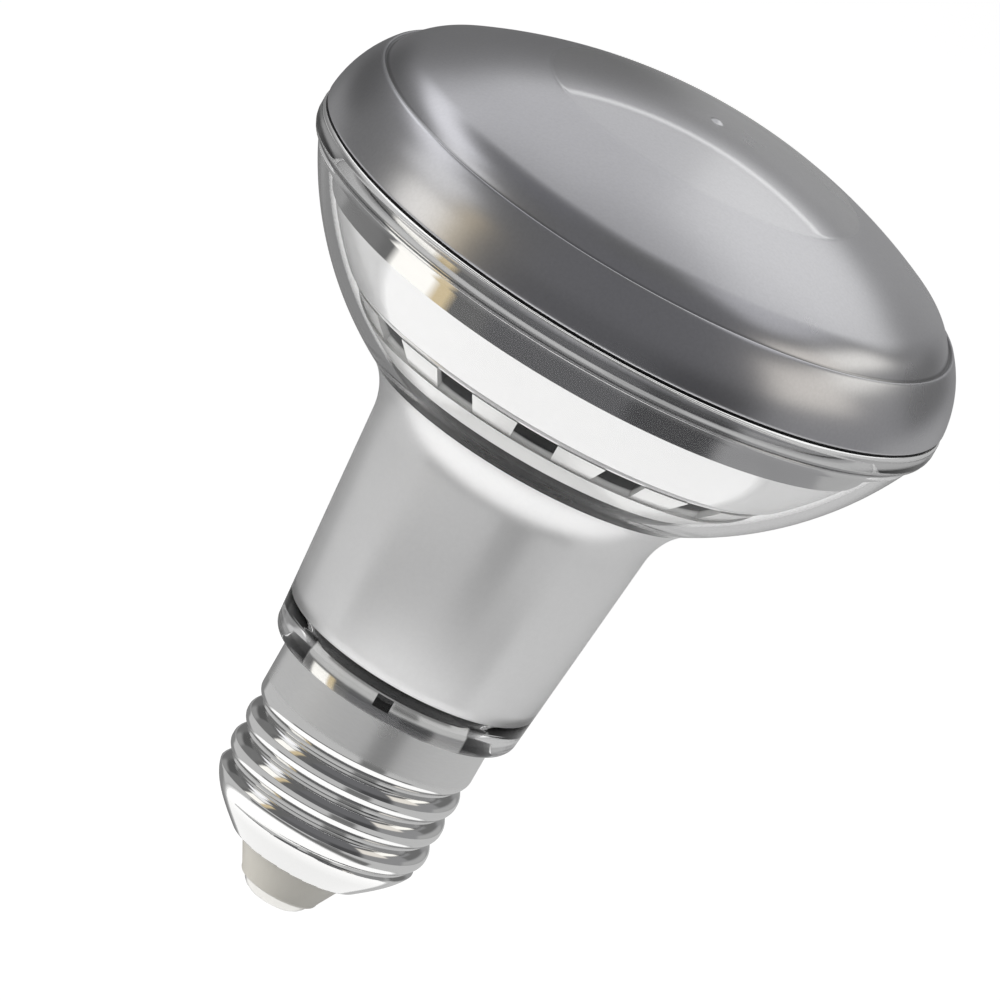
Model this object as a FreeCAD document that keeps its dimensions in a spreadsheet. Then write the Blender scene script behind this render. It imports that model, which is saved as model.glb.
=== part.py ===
import FreeCAD, Part
import math
import os
import re
import Sketcher

# Reflector lamp with a round-thread screw cap. Millimetres and degrees.
# +Z runs along the lamp's axis towards the front lens, and the origin is the tip of the centre contact.

SIZES = {
    # centre contact and insulator
    "contact_tip_radius": 2.6,
    "contact_radius": 4.3,
    "contact_rim": 0.9,
    "contact_edge_round": 2.4,
    "contact_rise": 1.6,
    "contact_shank_radius": 1.4,
    "contact_shank_length": 5.6,
    "insulator_tip_radius": 4.9,
    "insulator_tip_round": 0.6,
    "insulator_cone_height": 4.5,
    "insulator_fit": 0.35,
    "insulator_seat_width": 0.9,
    "insulator_flange_width": 1.9,
    "insulator_flange_rise": 2.3,
    "insulator_flange_land": 1.3,
    "insulator_bore_radius": 1.7,
    "lead_radius": 0.45,
    # screw shell
    "shell_wall": 0.3,
    "shell_height": 22.7,
    "shoulder_lip": 0.95,
    "shoulder_spread": 4.85,
    "shoulder_angle": 42.0,
    "shoulder_round": 3.7,
    "skirt_radius": 13.15,
    "thread_pitch": 3.629,
    "thread_depth": 1.02,
    "thread_round": 1.78,
    "thread_crest_flat": 0.6,
    "thread_start": 1.68,
    "thread_turns": 4.25,
    "thread_blend": 0.015,
    "cut_overrun": 1.0,
    # collar and neck seal
    "collar_fit": 0.15,
    "collar_wall": 1.0,
    "collar_depth": 3.6,
    "collar_land_height": 2.9,
    "collar_window_width": 2.0,
    "collar_window_height": 1.5,
    "collar_window_drop": 0.25,
    "collar_slot_width": 3.0,
    "collar_slot_height": 0.6,
    "neck_seal_thickness": 1.5,
    # glass
    "glass_wall": 1.2,
    "glass_gap": 0.3,
    "lip_round": 1.7,
    "lip_bore_height": 2.2,
    "lip_cone_height": 2.0,
    "neck_length": 27.92,
    "neck_taper": 4.97,
    "neck_spread": 4.6,
    "flare_radius": 9.5,
    "bowl_rim_radius": 39.1,
    "bowl_fullness": 3.63,
    "bead_proud": 0.9,
    "bead_rise": 0.8,
    "bead_height": 3.0,
    "bead_round": 0.7,
    "rim_wall": 1.2,
    # driver housing
    "housing_gap": 0.4,
    "housing_wall": 1.2,
    "housing_floor": 1.2,
    "spigot_gap": 0.3,
    "spigot_wall": 1.1,
    "spigot_depth": 6.0,
    "housing_top_rise": 6.68,
    "housing_top_opening": 13.0,
    "guide_height": 6.5,
    "guide_width": 1.0,
    "guide_depth": 2.6,
    "guide_gap": 0.15,
    # heat sink
    "hub_radius": 16.5,
    "hub_height": 3.2,
    "hub_spigot_length": 3.6,
    "heat_sink_bore": 4.0,
    "band_height": 2.3,
    "castle_height": 2.6,
    "castle_step": 0.4,
    "castle_count": 16,
    "castle_slot_width": 5.2,
    "castle_depth": 0.85,
    # light source board
    "pad_thickness": 0.5,
    "pad_inset": 0.6,
    "board_disc_gap": 0.8,
    "board_disc_thickness": 1.0,
    "led_width": 3.0,
    "led_height": 0.7,
    "outer_led_circle": 17.0,
    "outer_led_count": 12,
    "inner_led_circle": 9.0,
    "inner_led_count": 5,
    "screw_circle": 12.8,
    "screw_count": 3,
    "screw_radius": 1.25,
    "screw_hole_radius": 1.55,
    "screw_length": 5.0,
    "screw_head_radius": 2.3,
    "screw_head_height": 1.5,
    "screw_slot_width": 0.6,
    "screw_slot_depth": 0.7,
    "lead_pitch": 5.0,
    "lead_hole_radius": 0.8,
    # reflector
    "reflector_gap": 0.35,
    "reflector_wall": 0.8,
    "reflector_opening": 25.0,
    "reflector_step": 0.25,
    "reflector_rim_height": 1.7,
    "reflector_band_height": 3.9,
    # lens and seam
    "seam_thickness": 0.3,
    "seam_width": 1.4,
    "lens_wall": 1.6,
    "lens_inset": 0.06,
    "lens_edge_round": 13.28,
    "lens_edge_drop": 0.76,
    "lens_dome_radius": 69.8,
    "lens_fit": 0.3,
    "lens_spigot_wall": 1.3,
    "lens_spigot_length": 1.64,
    "lens_shelf_height": 0.9,
    "crease_inset": 3.14,
    "crease_width": 0.5,
    "crease_depth": 0.3,
    "crown_radius": 20.0,
    "crown_width": 0.5,
    "crown_depth": 0.12,
    "pip_radius": 0.7,
    "pip_height": 0.25,
    # driver board and what stands on it
    "board_thickness": 1.6,
    "board_inset": 1.05,
    "board_height": 22.0,
    "pin_radius": 0.35,
    "pin_hole_radius": 0.5,
    "pin_stub": 1.0,
    "part_gap": 0.1,
    "input_can_radius": 4.0,
    "input_can_height": 12.0,
    "input_can_pin_pitch": 3.5,
    "input_can_across": -4.6,
    "input_can_up": 2.5,
    "output_can_radius": 3.15,
    "output_can_height": 9.0,
    "output_can_pin_pitch": 2.5,
    "output_can_across": 4.4,
    "output_can_up": 3.5,
    "can_leg_drop": 0.8,
    "can_leg_radius": 0.3,
    "film_width": 9.0,
    "film_depth": 4.0,
    "film_height": 6.0,
    "film_pin_pitch": 6.0,
    "film_across": -4.6,
    "film_up": 2.6,
    "coil_radius": 4.0,
    "coil_core_radius": 2.9,
    "coil_height": 8.0,
    "coil_flange": 1.2,
    "coil_pin_pitch": 6.5,
    "coil_across": -4.2,
    "coil_up": 9.5,
    "varistor_radius": 3.4,
    "varistor_thickness": 3.2,
    "varistor_pin_pitch": 3.4,
    "varistor_across": 5.2,
    "varistor_up": 13.5,
    "resistor_radius": 1.3,
    "resistor_length": 6.5,
    "resistor_pin_pitch": 4.0,
    "resistor_across": 8.6,
    "resistor_up": 1.5,
    "rectifier_width": 4.8,
    "rectifier_depth": 1.7,
    "rectifier_height": 4.2,
    "rectifier_across": 4.6,
    "rectifier_up": 4.2,
    "chip_width": 4.9,
    "chip_depth": 1.5,
    "chip_height": 3.9,
    "chip_across": 4.4,
    "chip_up": 15.5,
}

doc = FreeCAD.newDocument("reflector_lamp")
sheet = doc.addObject("Spreadsheet::Sheet", "Sizes")
for row, (name, number) in enumerate(SIZES.items(), start=1):
    sheet.set(f"A{row}", name)
    sheet.set(f"B{row}", str(number))
    sheet.setAlias(f"B{row}", name)
doc.recompute()


def linked(expression):
    """The expression with each size written as a reference to the sheet."""
    def reference(word):
        return f"Sizes.{word.group()}" if word.group() in SIZES else word.group()
    return re.sub(r"[a-z]\w*", reference, expression)


def value(expression):
    return float(sheet.evalExpression(linked(expression)))


# Heights along the axis, each built on the one below it.
CAP_OPENING = "(contact_rise + insulator_cone_height)"
SKIRT_TOP = f"({CAP_OPENING} + shell_height)"
COLLAR_TOP = f"({SKIRT_TOP} + collar_land_height)"
HOUSING_BASE = f"({COLLAR_TOP} + neck_seal_thickness)"
HOUSING_FLOOR = f"({HOUSING_BASE} + housing_floor)"
FLARE_FOOT = f"({SKIRT_TOP} + neck_length)"
HOUSING_TOP = f"({FLARE_FOOT} + housing_top_rise)"
BAND_FOOT = f"({HOUSING_TOP} + hub_height)"
CASTLE_FOOT = f"({BAND_FOOT} + band_height)"
SINK_TOP = f"({CASTLE_FOOT} + castle_height)"
DISC_FOOT = f"({SINK_TOP} + pad_thickness)"
DISC_TOP = f"({DISC_FOOT} + board_disc_thickness)"

# Radii that follow the skirt.
THREAD_ROOT = "(skirt_radius - thread_depth)"
SHOULDER_RIM = "(skirt_radius - shoulder_spread)"
SHELL_OPENING = f"({SHOULDER_RIM} - shoulder_lip)"
INSULATOR_WAIST = f"({SHELL_OPENING} - insulator_fit)"
INSULATOR_SEAT = f"({INSULATOR_WAIST} + insulator_seat_width)"
INSULATOR_FLANGE = f"({INSULATOR_SEAT} + insulator_flange_width)"
NECK_TOP_RADIUS = "(skirt_radius + neck_spread)"
BOARD_HALF_WIDTH = "(skirt_radius - board_inset)"

# Radii that follow the bowl's rim.
BOWL_RADIUS = "(bowl_rim_radius + bowl_fullness)"
BEAD_RADIUS = "(bowl_rim_radius + bead_proud)"
RIM_BORE = "(bowl_rim_radius - rim_wall)"
LENS_RADIUS = f"({BEAD_RADIUS} - lens_inset)"
CREASE_RADIUS = f"({LENS_RADIUS} - crease_inset)"

# Centres of the two arcs that shape the glass: the flare, outside it, and the bowl, on the axis.
FLARE_X = f"({NECK_TOP_RADIUS} + flare_radius * cos(neck_taper))"
FLARE_Z = f"({FLARE_FOOT} - flare_radius * sin(neck_taper))"
REACH = f"({BOWL_RADIUS} + flare_radius)"
BOWL_RISE = f"sqrt({REACH} ^ 2 - {FLARE_X} ^ 2)"
BOWL_Z = f"({FLARE_Z} + {BOWL_RISE})"
RIM_FOOT = f"({BOWL_Z} - sqrt({BOWL_RADIUS} ^ 2 - bowl_rim_radius ^ 2))"
RIM_TOP = f"({RIM_FOOT} + bead_height)"
LENS_FOOT = f"({RIM_TOP} + seam_thickness)"
REFLECTOR_TOP = f"({LENS_FOOT} - lens_spigot_length)"

# Distances in from the glass's outer face.
INNER_FACE = "glass_wall"
HOUSING_FACE = "(glass_wall + housing_gap)"
REFLECTOR_FACE = "(glass_wall + reflector_gap)"


def neck_radius(height, inset):
    """Radius of the tapered neck at a height, a distance in from its outer face."""
    top_radius = f"({NECK_TOP_RADIUS} - {inset} * cos(neck_taper))"
    top_height = f"({FLARE_FOOT} + {inset} * sin(neck_taper))"
    return f"({top_radius} - ({top_height} - {height}) * tan(neck_taper))"


def neck_end(inset):
    """Point where the neck's straight side runs into the flare."""
    across = f"({NECK_TOP_RADIUS} - {inset} * cos(neck_taper))"
    up = f"({FLARE_FOOT} + {inset} * sin(neck_taper))"
    return across, up


def flare_end(inset):
    """Point where the flare runs into the bowl."""
    across = f"(({BOWL_RADIUS} - {inset}) * {FLARE_X} / {REACH})"
    up = f"({BOWL_Z} - ({BOWL_RADIUS} - {inset}) * {BOWL_RISE} / {REACH})"
    return across, up


def flare_radius_at(height, inset):
    return f"({FLARE_X} - sqrt((flare_radius + {inset}) ^ 2 - ({height} - {FLARE_Z}) ^ 2))"


def bowl_radius_at(height, inset):
    return f"sqrt(({BOWL_RADIUS} - {inset}) ^ 2 - ({BOWL_Z} - {height}) ^ 2)"


def bowl_height_at(radius, inset):
    return f"({BOWL_Z} - sqrt(({BOWL_RADIUS} - {inset}) ^ 2 - {radius} ^ 2))"


def new_body(label):
    body = doc.addObject("PartDesign::Body", label)
    body.Label = label
    return body


def origin_feature(body, role):
    return next(item for item in body.Origin.OriginFeatures if item.Role == role)


def new_sketch(body, plane, height):
    sketch = body.newObject("Sketcher::SketchObject", f"{body.Label}_sketch")
    sketch.AttachmentSupport = [(origin_feature(body, plane), "")]
    sketch.MapMode = "FlatFace"
    sketch.setExpression("AttachmentOffset.Base.z", linked(height))
    return sketch


def bind(sketch, constraint, expression):
    index = sketch.addConstraint(constraint)
    sketch.setExpression(f"Constraints[{index}]", linked(expression))


def place_point(sketch, geometry, position, across, up):
    """Tie a point to the sketch's origin by one size across and one size up."""
    for kind, axis, expression in (("DistanceX", -2, across), ("DistanceY", -1, up)):
        distance = value(expression)
        if abs(distance) < 1e-9:
            sketch.addConstraint(Sketcher.Constraint("PointOnObject", geometry, position, axis))
        elif distance > 0:
            constraint = Sketcher.Constraint(kind, -1, 1, geometry, position, distance)
            bind(sketch, constraint, expression)
        else:
            constraint = Sketcher.Constraint(kind, geometry, position, -1, 1, -distance)
            bind(sketch, constraint, f"-({expression})")


def arc_between(start, end, radius):
    """Arc that turns left for a positive radius and right for a negative one."""
    chord = end - start
    half = chord.Length / 2
    left = FreeCAD.Vector(-chord.y, chord.x, 0).normalize()
    offset = math.sqrt(max(radius * radius - half * half, 0))
    centre = start + chord * 0.5 + left * math.copysign(offset, radius)
    first, last = (start, end) if radius > 0 else (end, start)
    circle = Part.Circle(centre, FreeCAD.Vector(0, 0, 1), abs(radius))
    angles = [math.atan2(point.y - centre.y, point.x - centre.x) for point in (first, last)]
    return Part.ArcOfCircle(circle, *angles)


def add_outline(sketch, corners):
    """Closed outline. A corner is (across, up), with a third entry where an arc leaves it:
    the arc's radius, and its sign says which way it turns, as in arc_between."""
    first = len(sketch.Geometry)
    points = [FreeCAD.Vector(value(corner[0]), value(corner[1]), 0) for corner in corners]
    count = len(corners)
    ends = []
    for index, corner in enumerate(corners):
        start, end = points[index], points[(index + 1) % count]
        if len(corner) == 2:
            sketch.addGeometry(Part.LineSegment(start, end))
            ends.append((1, 2))
        else:
            radius = value(corner[2])
            sketch.addGeometry(arc_between(start, end, radius))
            ends.append((1, 2) if radius > 0 else (2, 1))
    for index, corner in enumerate(corners):
        previous = (index - 1) % count
        joint = (first + previous, ends[previous][1], first + index, ends[index][0])
        sketch.addConstraint(Sketcher.Constraint("Coincident", *joint))
        place_point(sketch, first + index, ends[index][0], corner[0], corner[1])
        if len(corner) == 3:
            radius = value(corner[2])
            sign = "" if radius > 0 else "-"
            constraint = Sketcher.Constraint("Radius", first + index, abs(radius))
            bind(sketch, constraint, f"{sign}({corner[2]})")


def add_circle(sketch, across, up, radius):
    centre = FreeCAD.Vector(value(across), value(up), 0)
    index = sketch.addGeometry(Part.Circle(centre, FreeCAD.Vector(0, 0, 1), value(radius)))
    place_point(sketch, index, 3, across, up)
    bind(sketch, Sketcher.Constraint("Radius", index, value(radius)), radius)


def outline_sketch(body, corners, plane="XZ_Plane", height="0"):
    sketch = new_sketch(body, plane, height)
    add_outline(sketch, corners)
    return sketch


def turn(body, corners, kind="PartDesign::Revolution"):
    """Revolve an outline of (radius, height) corners about the lamp's axis."""
    feature = body.newObject(kind, f"{body.Label}_turned")
    feature.Profile = outline_sketch(body, corners)
    feature.ReferenceAxis = (origin_feature(body, "Z_Axis"), [""])
    feature.Angle = 360
    return feature


def extrude(body, sketch, length, kind="PartDesign::Pad", backward=False):
    feature = body.newObject(kind, f"{body.Label}_extruded")
    feature.Profile = sketch
    feature.setExpression("Length", linked(length))
    feature.Reversed = backward
    return feature


def around(body, feature, count):
    """Repeat a feature evenly around the lamp's axis."""
    pattern = body.newObject("PartDesign::PolarPattern", f"{body.Label}_pattern")
    pattern.Originals = [feature]
    pattern.Axis = (origin_feature(body, "Z_Axis"), [""])
    pattern.Angle = 360
    pattern.setExpression("Occurrences", linked(count))
    body.Tip = pattern
    return pattern


def rectangle(left, right, low, high):
    return [(left, low), (right, low), (right, high), (left, high)]


def centre_contact():
    body = new_body("centre_contact")
    turn(body, [
        ("0", "0"),
        ("contact_tip_radius", "0", "contact_edge_round"),
        ("contact_radius", "contact_rise - contact_rim"),
        ("contact_radius", "contact_rise"),
        ("contact_shank_radius", "contact_rise"),
        ("contact_shank_radius", "contact_rise + contact_shank_length"),
        ("0", "contact_rise + contact_shank_length"),
    ])
    return body


def cap_insulator():
    seat = f"({CAP_OPENING} + shell_wall)"
    flange_top = f"({seat} + insulator_flange_rise + insulator_flange_land)"
    body = new_body("cap_insulator")
    turn(body, [
        ("insulator_bore_radius", "contact_rise"),
        ("insulator_tip_radius - insulator_tip_round", "contact_rise", "insulator_tip_round"),
        ("insulator_tip_radius", "contact_rise + insulator_tip_round"),
        (INSULATOR_WAIST, CAP_OPENING),
        (INSULATOR_WAIST, seat),
        (INSULATOR_SEAT, seat),
        (INSULATOR_FLANGE, f"{seat} + insulator_flange_rise"),
        (INSULATOR_FLANGE, flange_top),
        ("insulator_bore_radius", flange_top),
    ])
    return body


def shell_form(label, inset, overrun):
    """Solid inside one face of the screw shell: the outer face, or the inner one a wall further in."""
    slope = "shoulder_angle"
    rim = f"({SHOULDER_RIM} - {inset} * cos({slope}) + {inset} * (1 - sin({slope})) * tan({slope}))"
    bend_radius = f"(skirt_radius - shoulder_round * (1 - cos({slope})))"
    bend_height = f"({CAP_OPENING} + ({bend_radius} - {SHOULDER_RIM}) / tan({slope}))"
    top = f"{SKIRT_TOP} + {overrun}"
    body = new_body(label)
    turn(body, [
        ("0", f"{CAP_OPENING} - {overrun}"),
        (SHELL_OPENING, f"{CAP_OPENING} - {overrun}"),
        (SHELL_OPENING, f"{CAP_OPENING} + {inset}"),
        (rim, f"{CAP_OPENING} + {inset}"),
        (f"{bend_radius} - {inset} * cos({slope})", f"{bend_height} + {inset} * sin({slope})",
         f"shoulder_round - {inset}"),
        (f"skirt_radius - {inset}", f"{bend_height} + shoulder_round * sin({slope})"),
        (f"skirt_radius - {inset}", top),
        ("0", top),
    ] if overrun != "0" else [
        ("0", CAP_OPENING),
        (rim, CAP_OPENING),
        (bend_radius, bend_height, "shoulder_round"),
        ("skirt_radius", f"{bend_height} + shoulder_round * sin({slope})"),
        ("skirt_radius", top),
        ("0", top),
    ])
    cut_thread(body, inset)
    return body


def cut_thread(body, inset):
    """Helical valley between two round crests. The inner face's valley runs on by a wall's width."""
    crest_centre = "(skirt_radius - sqrt(thread_round ^ 2 - (thread_crest_flat / 2) ^ 2))"
    crest_round = f"(thread_round - {inset})"
    root = f"({THREAD_ROOT} - {inset})"
    mouth = f"(skirt_radius - {inset} + thread_blend)"
    outside = "(skirt_radius + cut_overrun)"
    middle = f"({CAP_OPENING} + thread_start)"
    root_half = f"(thread_pitch / 2 - sqrt({crest_round} ^ 2 - ({root} - {crest_centre}) ^ 2))"
    mouth_half = f"(thread_pitch / 2 - sqrt({crest_round} ^ 2 - ({mouth} - {crest_centre}) ^ 2))"
    valley = outline_sketch(body, [
        (root, f"{middle} - {root_half}", f"-{crest_round}"),
        (mouth, f"{middle} - {mouth_half}"),
        (outside, f"{middle} - {mouth_half}"),
        (outside, f"{middle} + {mouth_half}"),
        (mouth, f"{middle} + {mouth_half}", f"-{crest_round}"),
        (root, f"{middle} + {root_half}"),
    ])
    groove = body.newObject("PartDesign::SubtractiveHelix", f"{body.Label}_thread")
    groove.Profile = valley
    groove.ReferenceAxis = (origin_feature(body, "Z_Axis"), [""])
    groove.Mode = "pitch-height-angle"
    groove.setExpression("Pitch", linked("thread_pitch"))
    run_on = f"thread_pitch * {inset} / (pi * {THREAD_ROOT})"
    groove.setExpression("Height", linked(f"thread_turns * thread_pitch + {run_on}"))


def screw_shell():
    """Rolled sheet: the thread shows on the inner face as it does on the outer one."""
    shell = doc.addObject("Part::Cut", "screw_shell")
    shell.Base = shell_form("shell_outer_form", "0", "0")
    shell.Tool = shell_form("shell_inner_form", "shell_wall", "cut_overrun")
    shell.Label = "screw_shell"
    return shell


def collar_ring():
    """Collar that the skirt slides over. A window and a slot at the front pass through its land."""
    outer = "(skirt_radius - shell_wall - collar_fit)"
    inner = f"({outer} - collar_wall)"
    body = new_body("collar_ring")
    turn(body, [
        (inner, f"{SKIRT_TOP} - collar_depth"),
        (outer, f"{SKIRT_TOP} - collar_depth"),
        (outer, SKIRT_TOP),
        ("skirt_radius", SKIRT_TOP),
        ("skirt_radius", COLLAR_TOP),
        (inner, COLLAR_TOP),
    ])
    window_top = f"({COLLAR_TOP} - collar_window_drop)"
    window = rectangle("-collar_window_width / 2", "collar_window_width / 2",
                       f"{window_top} - collar_window_height", window_top)
    slot = rectangle("-collar_slot_width / 2", "collar_slot_width / 2",
                     SKIRT_TOP, f"{SKIRT_TOP} + collar_slot_height")
    openings = outline_sketch(body, window)
    add_outline(openings, slot)
    extrude(body, openings, "skirt_radius + cut_overrun", "PartDesign::Pocket", backward=True)
    return body


def neck_seal():
    body = new_body("neck_seal")
    inner = "(skirt_radius - shell_wall - collar_fit - collar_wall)"
    turn(body, rectangle(inner, "skirt_radius", COLLAR_TOP, HOUSING_BASE))
    return body


def glass_bulb():
    """Blown in one piece: rounded lip, tapered neck, flare, bowl and beaded rim."""
    lip_bore = "(skirt_radius + glass_gap)"
    lip_end = f"({SKIRT_TOP} + lip_round)"
    bore_end = f"({SKIRT_TOP} + lip_bore_height)"
    cone_end = f"({bore_end} + lip_cone_height)"
    inner_neck = neck_end(INNER_FACE)
    inner_flare = flare_end(INNER_FACE)
    outer_neck = neck_end("0")
    outer_flare = flare_end("0")
    body = new_body("glass_bulb")
    turn(body, [
        (lip_bore, SKIRT_TOP),
        (f"{neck_radius(lip_end, '0')} - lip_round", SKIRT_TOP, "lip_round"),
        (neck_radius(lip_end, "0"), lip_end),
        (*outer_neck, "-flare_radius"),
        (*outer_flare, BOWL_RADIUS),
        ("bowl_rim_radius", RIM_FOOT),
        (BEAD_RADIUS, f"{RIM_FOOT} + bead_rise"),
        (BEAD_RADIUS, f"{RIM_TOP} - bead_round", "bead_round"),
        (f"{BEAD_RADIUS} - bead_round", RIM_TOP),
        (RIM_BORE, RIM_TOP),
        (RIM_BORE, bowl_height_at(RIM_BORE, INNER_FACE), f"-({BOWL_RADIUS} - glass_wall)"),
        (*inner_flare, "flare_radius + glass_wall"),
        inner_neck,
        (neck_radius(cone_end, INNER_FACE), cone_end),
        (lip_bore, bore_end),
    ])
    return body


def driver_housing():
    """Tapered sleeve that follows the glass, with a floor, a spigot in the collar and a flared top."""
    inner_face = f"({HOUSING_FACE} + housing_wall)"
    spigot_outer = "(skirt_radius - shell_wall - collar_fit - collar_wall - spigot_gap)"
    spigot_inner = f"({spigot_outer} - spigot_wall)"
    ceiling = f"({HOUSING_TOP} - housing_wall)"
    body = new_body("driver_housing")
    turn(body, [
        (spigot_inner, f"{HOUSING_BASE} - spigot_depth"),
        (spigot_outer, f"{HOUSING_BASE} - spigot_depth"),
        (spigot_outer, HOUSING_BASE),
        (neck_radius(HOUSING_BASE, HOUSING_FACE), HOUSING_BASE),
        (*neck_end(HOUSING_FACE), f"-(flare_radius + {HOUSING_FACE})"),
        (flare_radius_at(HOUSING_TOP, HOUSING_FACE), HOUSING_TOP),
        ("housing_top_opening", HOUSING_TOP),
        ("housing_top_opening", ceiling),
        (flare_radius_at(ceiling, inner_face), ceiling, f"flare_radius + {inner_face}"),
        neck_end(inner_face),
        (neck_radius(HOUSING_FLOOR, inner_face), HOUSING_FLOOR),
        (spigot_inner, HOUSING_FLOOR),
    ])
    add_guides(body, inner_face)
    return body


def add_guides(body, inner_face):
    """Four upright ribs on the wall, a pair on each side of the driver board's edges."""
    guide_top = f"({HOUSING_FLOOR} + guide_height)"
    wall = f"({neck_radius(guide_top, inner_face)} + guide_gap)"
    near = "(board_thickness / 2 + guide_gap)"
    far = f"({near} + guide_width)"
    guides = new_sketch(body, "XY_Plane", HOUSING_FLOOR)
    add_outline(guides, rectangle(f"{wall} - guide_depth", wall, near, far))
    add_outline(guides, rectangle(f"{wall} - guide_depth", wall, f"-{far}", f"-{near}"))
    add_outline(guides, rectangle(f"-{wall}", f"-({wall} - guide_depth)", near, far))
    add_outline(guides, rectangle(f"-{wall}", f"-({wall} - guide_depth)", f"-{far}", f"-{near}"))
    extrude(body, guides, "guide_height")


def heat_sink():
    """Turned hub, a pale band and a castellated ring that carries the reflector."""
    body = new_body("heat_sink")
    spigot = "(housing_top_opening - spigot_gap)"
    slot_end = f"({bowl_radius_at(CASTLE_FOOT, REFLECTOR_FACE)} - castle_depth)"
    turn(body, [
        ("heat_sink_bore", f"{HOUSING_TOP} - hub_spigot_length"),
        (spigot, f"{HOUSING_TOP} - hub_spigot_length"),
        (spigot, HOUSING_TOP),
        ("hub_radius", HOUSING_TOP),
        ("hub_radius", BAND_FOOT),
        (bowl_radius_at(BAND_FOOT, REFLECTOR_FACE), BAND_FOOT, f"{BOWL_RADIUS} - {REFLECTOR_FACE}"),
        (bowl_radius_at(CASTLE_FOOT, REFLECTOR_FACE), CASTLE_FOOT),
        (f"{bowl_radius_at(CASTLE_FOOT, REFLECTOR_FACE)} - castle_step", CASTLE_FOOT),
        (f"{bowl_radius_at(SINK_TOP, REFLECTOR_FACE)} - castle_step", SINK_TOP),
        ("heat_sink_bore", SINK_TOP),
    ])
    outline = rectangle(slot_end, BOWL_RADIUS, "-castle_slot_width / 2", "castle_slot_width / 2")
    slot = outline_sketch(body, outline, "XY_Plane", SINK_TOP)
    around(body, extrude(body, slot, "castle_height", "PartDesign::Pocket"), "castle_count")
    hole = new_sketch(body, "XY_Plane", SINK_TOP)
    add_circle(hole, "screw_circle", "0", "screw_hole_radius")
    depth = "screw_length - pad_thickness - board_disc_thickness + screw_radius"
    around(body, extrude(body, hole, depth, "PartDesign::Pocket"), "screw_count")
    return body


def disc_sketch(body, height, radius):
    """Disc with the holes for the two leads."""
    sketch = new_sketch(body, "XY_Plane", height)
    add_circle(sketch, "0", "0", radius)
    for side in ("-lead_pitch / 2", "lead_pitch / 2"):
        add_circle(sketch, side, "board_thickness / 2 + part_gap + lead_radius", "lead_hole_radius")
    return sketch


def drilled_disc(label, height, radius, thickness):
    body = new_body(label)
    extrude(body, disc_sketch(body, height, radius), thickness)
    hole = new_sketch(body, "XY_Plane", height)
    add_circle(hole, "screw_circle", "0", "screw_hole_radius")
    bore = extrude(body, hole, thickness, "PartDesign::Pocket", backward=True)
    around(body, bore, "screw_count")
    return body


def thermal_pad():
    radius = "reflector_opening - board_disc_gap - pad_inset"
    return drilled_disc("thermal_pad", SINK_TOP, radius, "pad_thickness")


def led_board():
    radius = "reflector_opening - board_disc_gap"
    return drilled_disc("led_board", DISC_FOOT, radius, "board_disc_thickness")


def led_packages():
    """Two rings of square light sources."""
    body = new_body("led_packages")
    for circle, count in (("outer_led_circle", "outer_led_count"), ("inner_led_circle", "inner_led_count")):
        square = rectangle(f"{circle} - led_width / 2", f"{circle} + led_width / 2",
                           "-led_width / 2", "led_width / 2")
        package = extrude(body, outline_sketch(body, square, "XY_Plane", DISC_TOP), "led_height")
        around(body, package, count)
    return body


def board_screws():
    """Slotted screws that hold the light source board and its pad to the heat sink."""
    body = new_body("board_screws")
    head = new_sketch(body, "XY_Plane", DISC_TOP)
    add_circle(head, "screw_circle", "0", "screw_head_radius")
    heads = around(body, extrude(body, head, "screw_head_height"), "screw_count")
    shank = new_sketch(body, "XY_Plane", DISC_TOP)
    add_circle(shank, "screw_circle", "0", "screw_radius")
    around(body, extrude(body, shank, "screw_length", backward=True), "screw_count")
    outline = rectangle("screw_circle - screw_head_radius", "screw_circle + screw_head_radius",
                        "-screw_slot_width / 2", "screw_slot_width / 2")
    slot = outline_sketch(body, outline, "XY_Plane", f"{DISC_TOP} + screw_head_height")
    around(body, extrude(body, slot, "screw_slot_depth", "PartDesign::Pocket"), "screw_count")
    return body


def reflector_cup():
    """Spun cup: upright rim, conical band, then the bowl down to an open floor on the heat sink."""
    band_top = f"({REFLECTOR_TOP} - reflector_rim_height)"
    band_foot = f"({band_top} - reflector_band_height)"
    bowl_face = f"({REFLECTOR_FACE} + reflector_step)"
    inner_face = f"({bowl_face} + reflector_wall)"
    top_radius = bowl_radius_at(band_top, REFLECTOR_FACE)
    foot_radius = bowl_radius_at(band_foot, REFLECTOR_FACE)
    floor_top = f"({SINK_TOP} + reflector_wall)"
    body = new_body("reflector_cup")
    turn(body, [
        ("reflector_opening", SINK_TOP),
        (bowl_radius_at(SINK_TOP, bowl_face), SINK_TOP, f"{BOWL_RADIUS} - {bowl_face}"),
        (bowl_radius_at(band_foot, bowl_face), band_foot),
        (foot_radius, band_foot),
        (top_radius, band_top),
        (top_radius, REFLECTOR_TOP),
        (f"{top_radius} - reflector_wall", REFLECTOR_TOP),
        (f"{top_radius} - reflector_wall", band_top),
        (bowl_radius_at(band_foot, inner_face), band_foot, f"-({BOWL_RADIUS} - {inner_face})"),
        (bowl_radius_at(floor_top, inner_face), floor_top),
        ("reflector_opening", floor_top),
    ])
    return body


def seam_seal():
    body = new_body("seam_seal")
    turn(body, rectangle(RIM_BORE, f"{RIM_BORE} + seam_width", RIM_TOP, LENS_FOOT))
    return body


LENS_X = f"({LENS_RADIUS} - lens_edge_round)"
LENS_Z = f"({LENS_FOOT} - lens_edge_drop)"
DOME_REACH = "(lens_dome_radius - lens_edge_round)"
DOME_RISE = f"sqrt({DOME_REACH} ^ 2 - {LENS_X} ^ 2)"
DOME_Z = f"({LENS_Z} - {DOME_RISE})"


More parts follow.
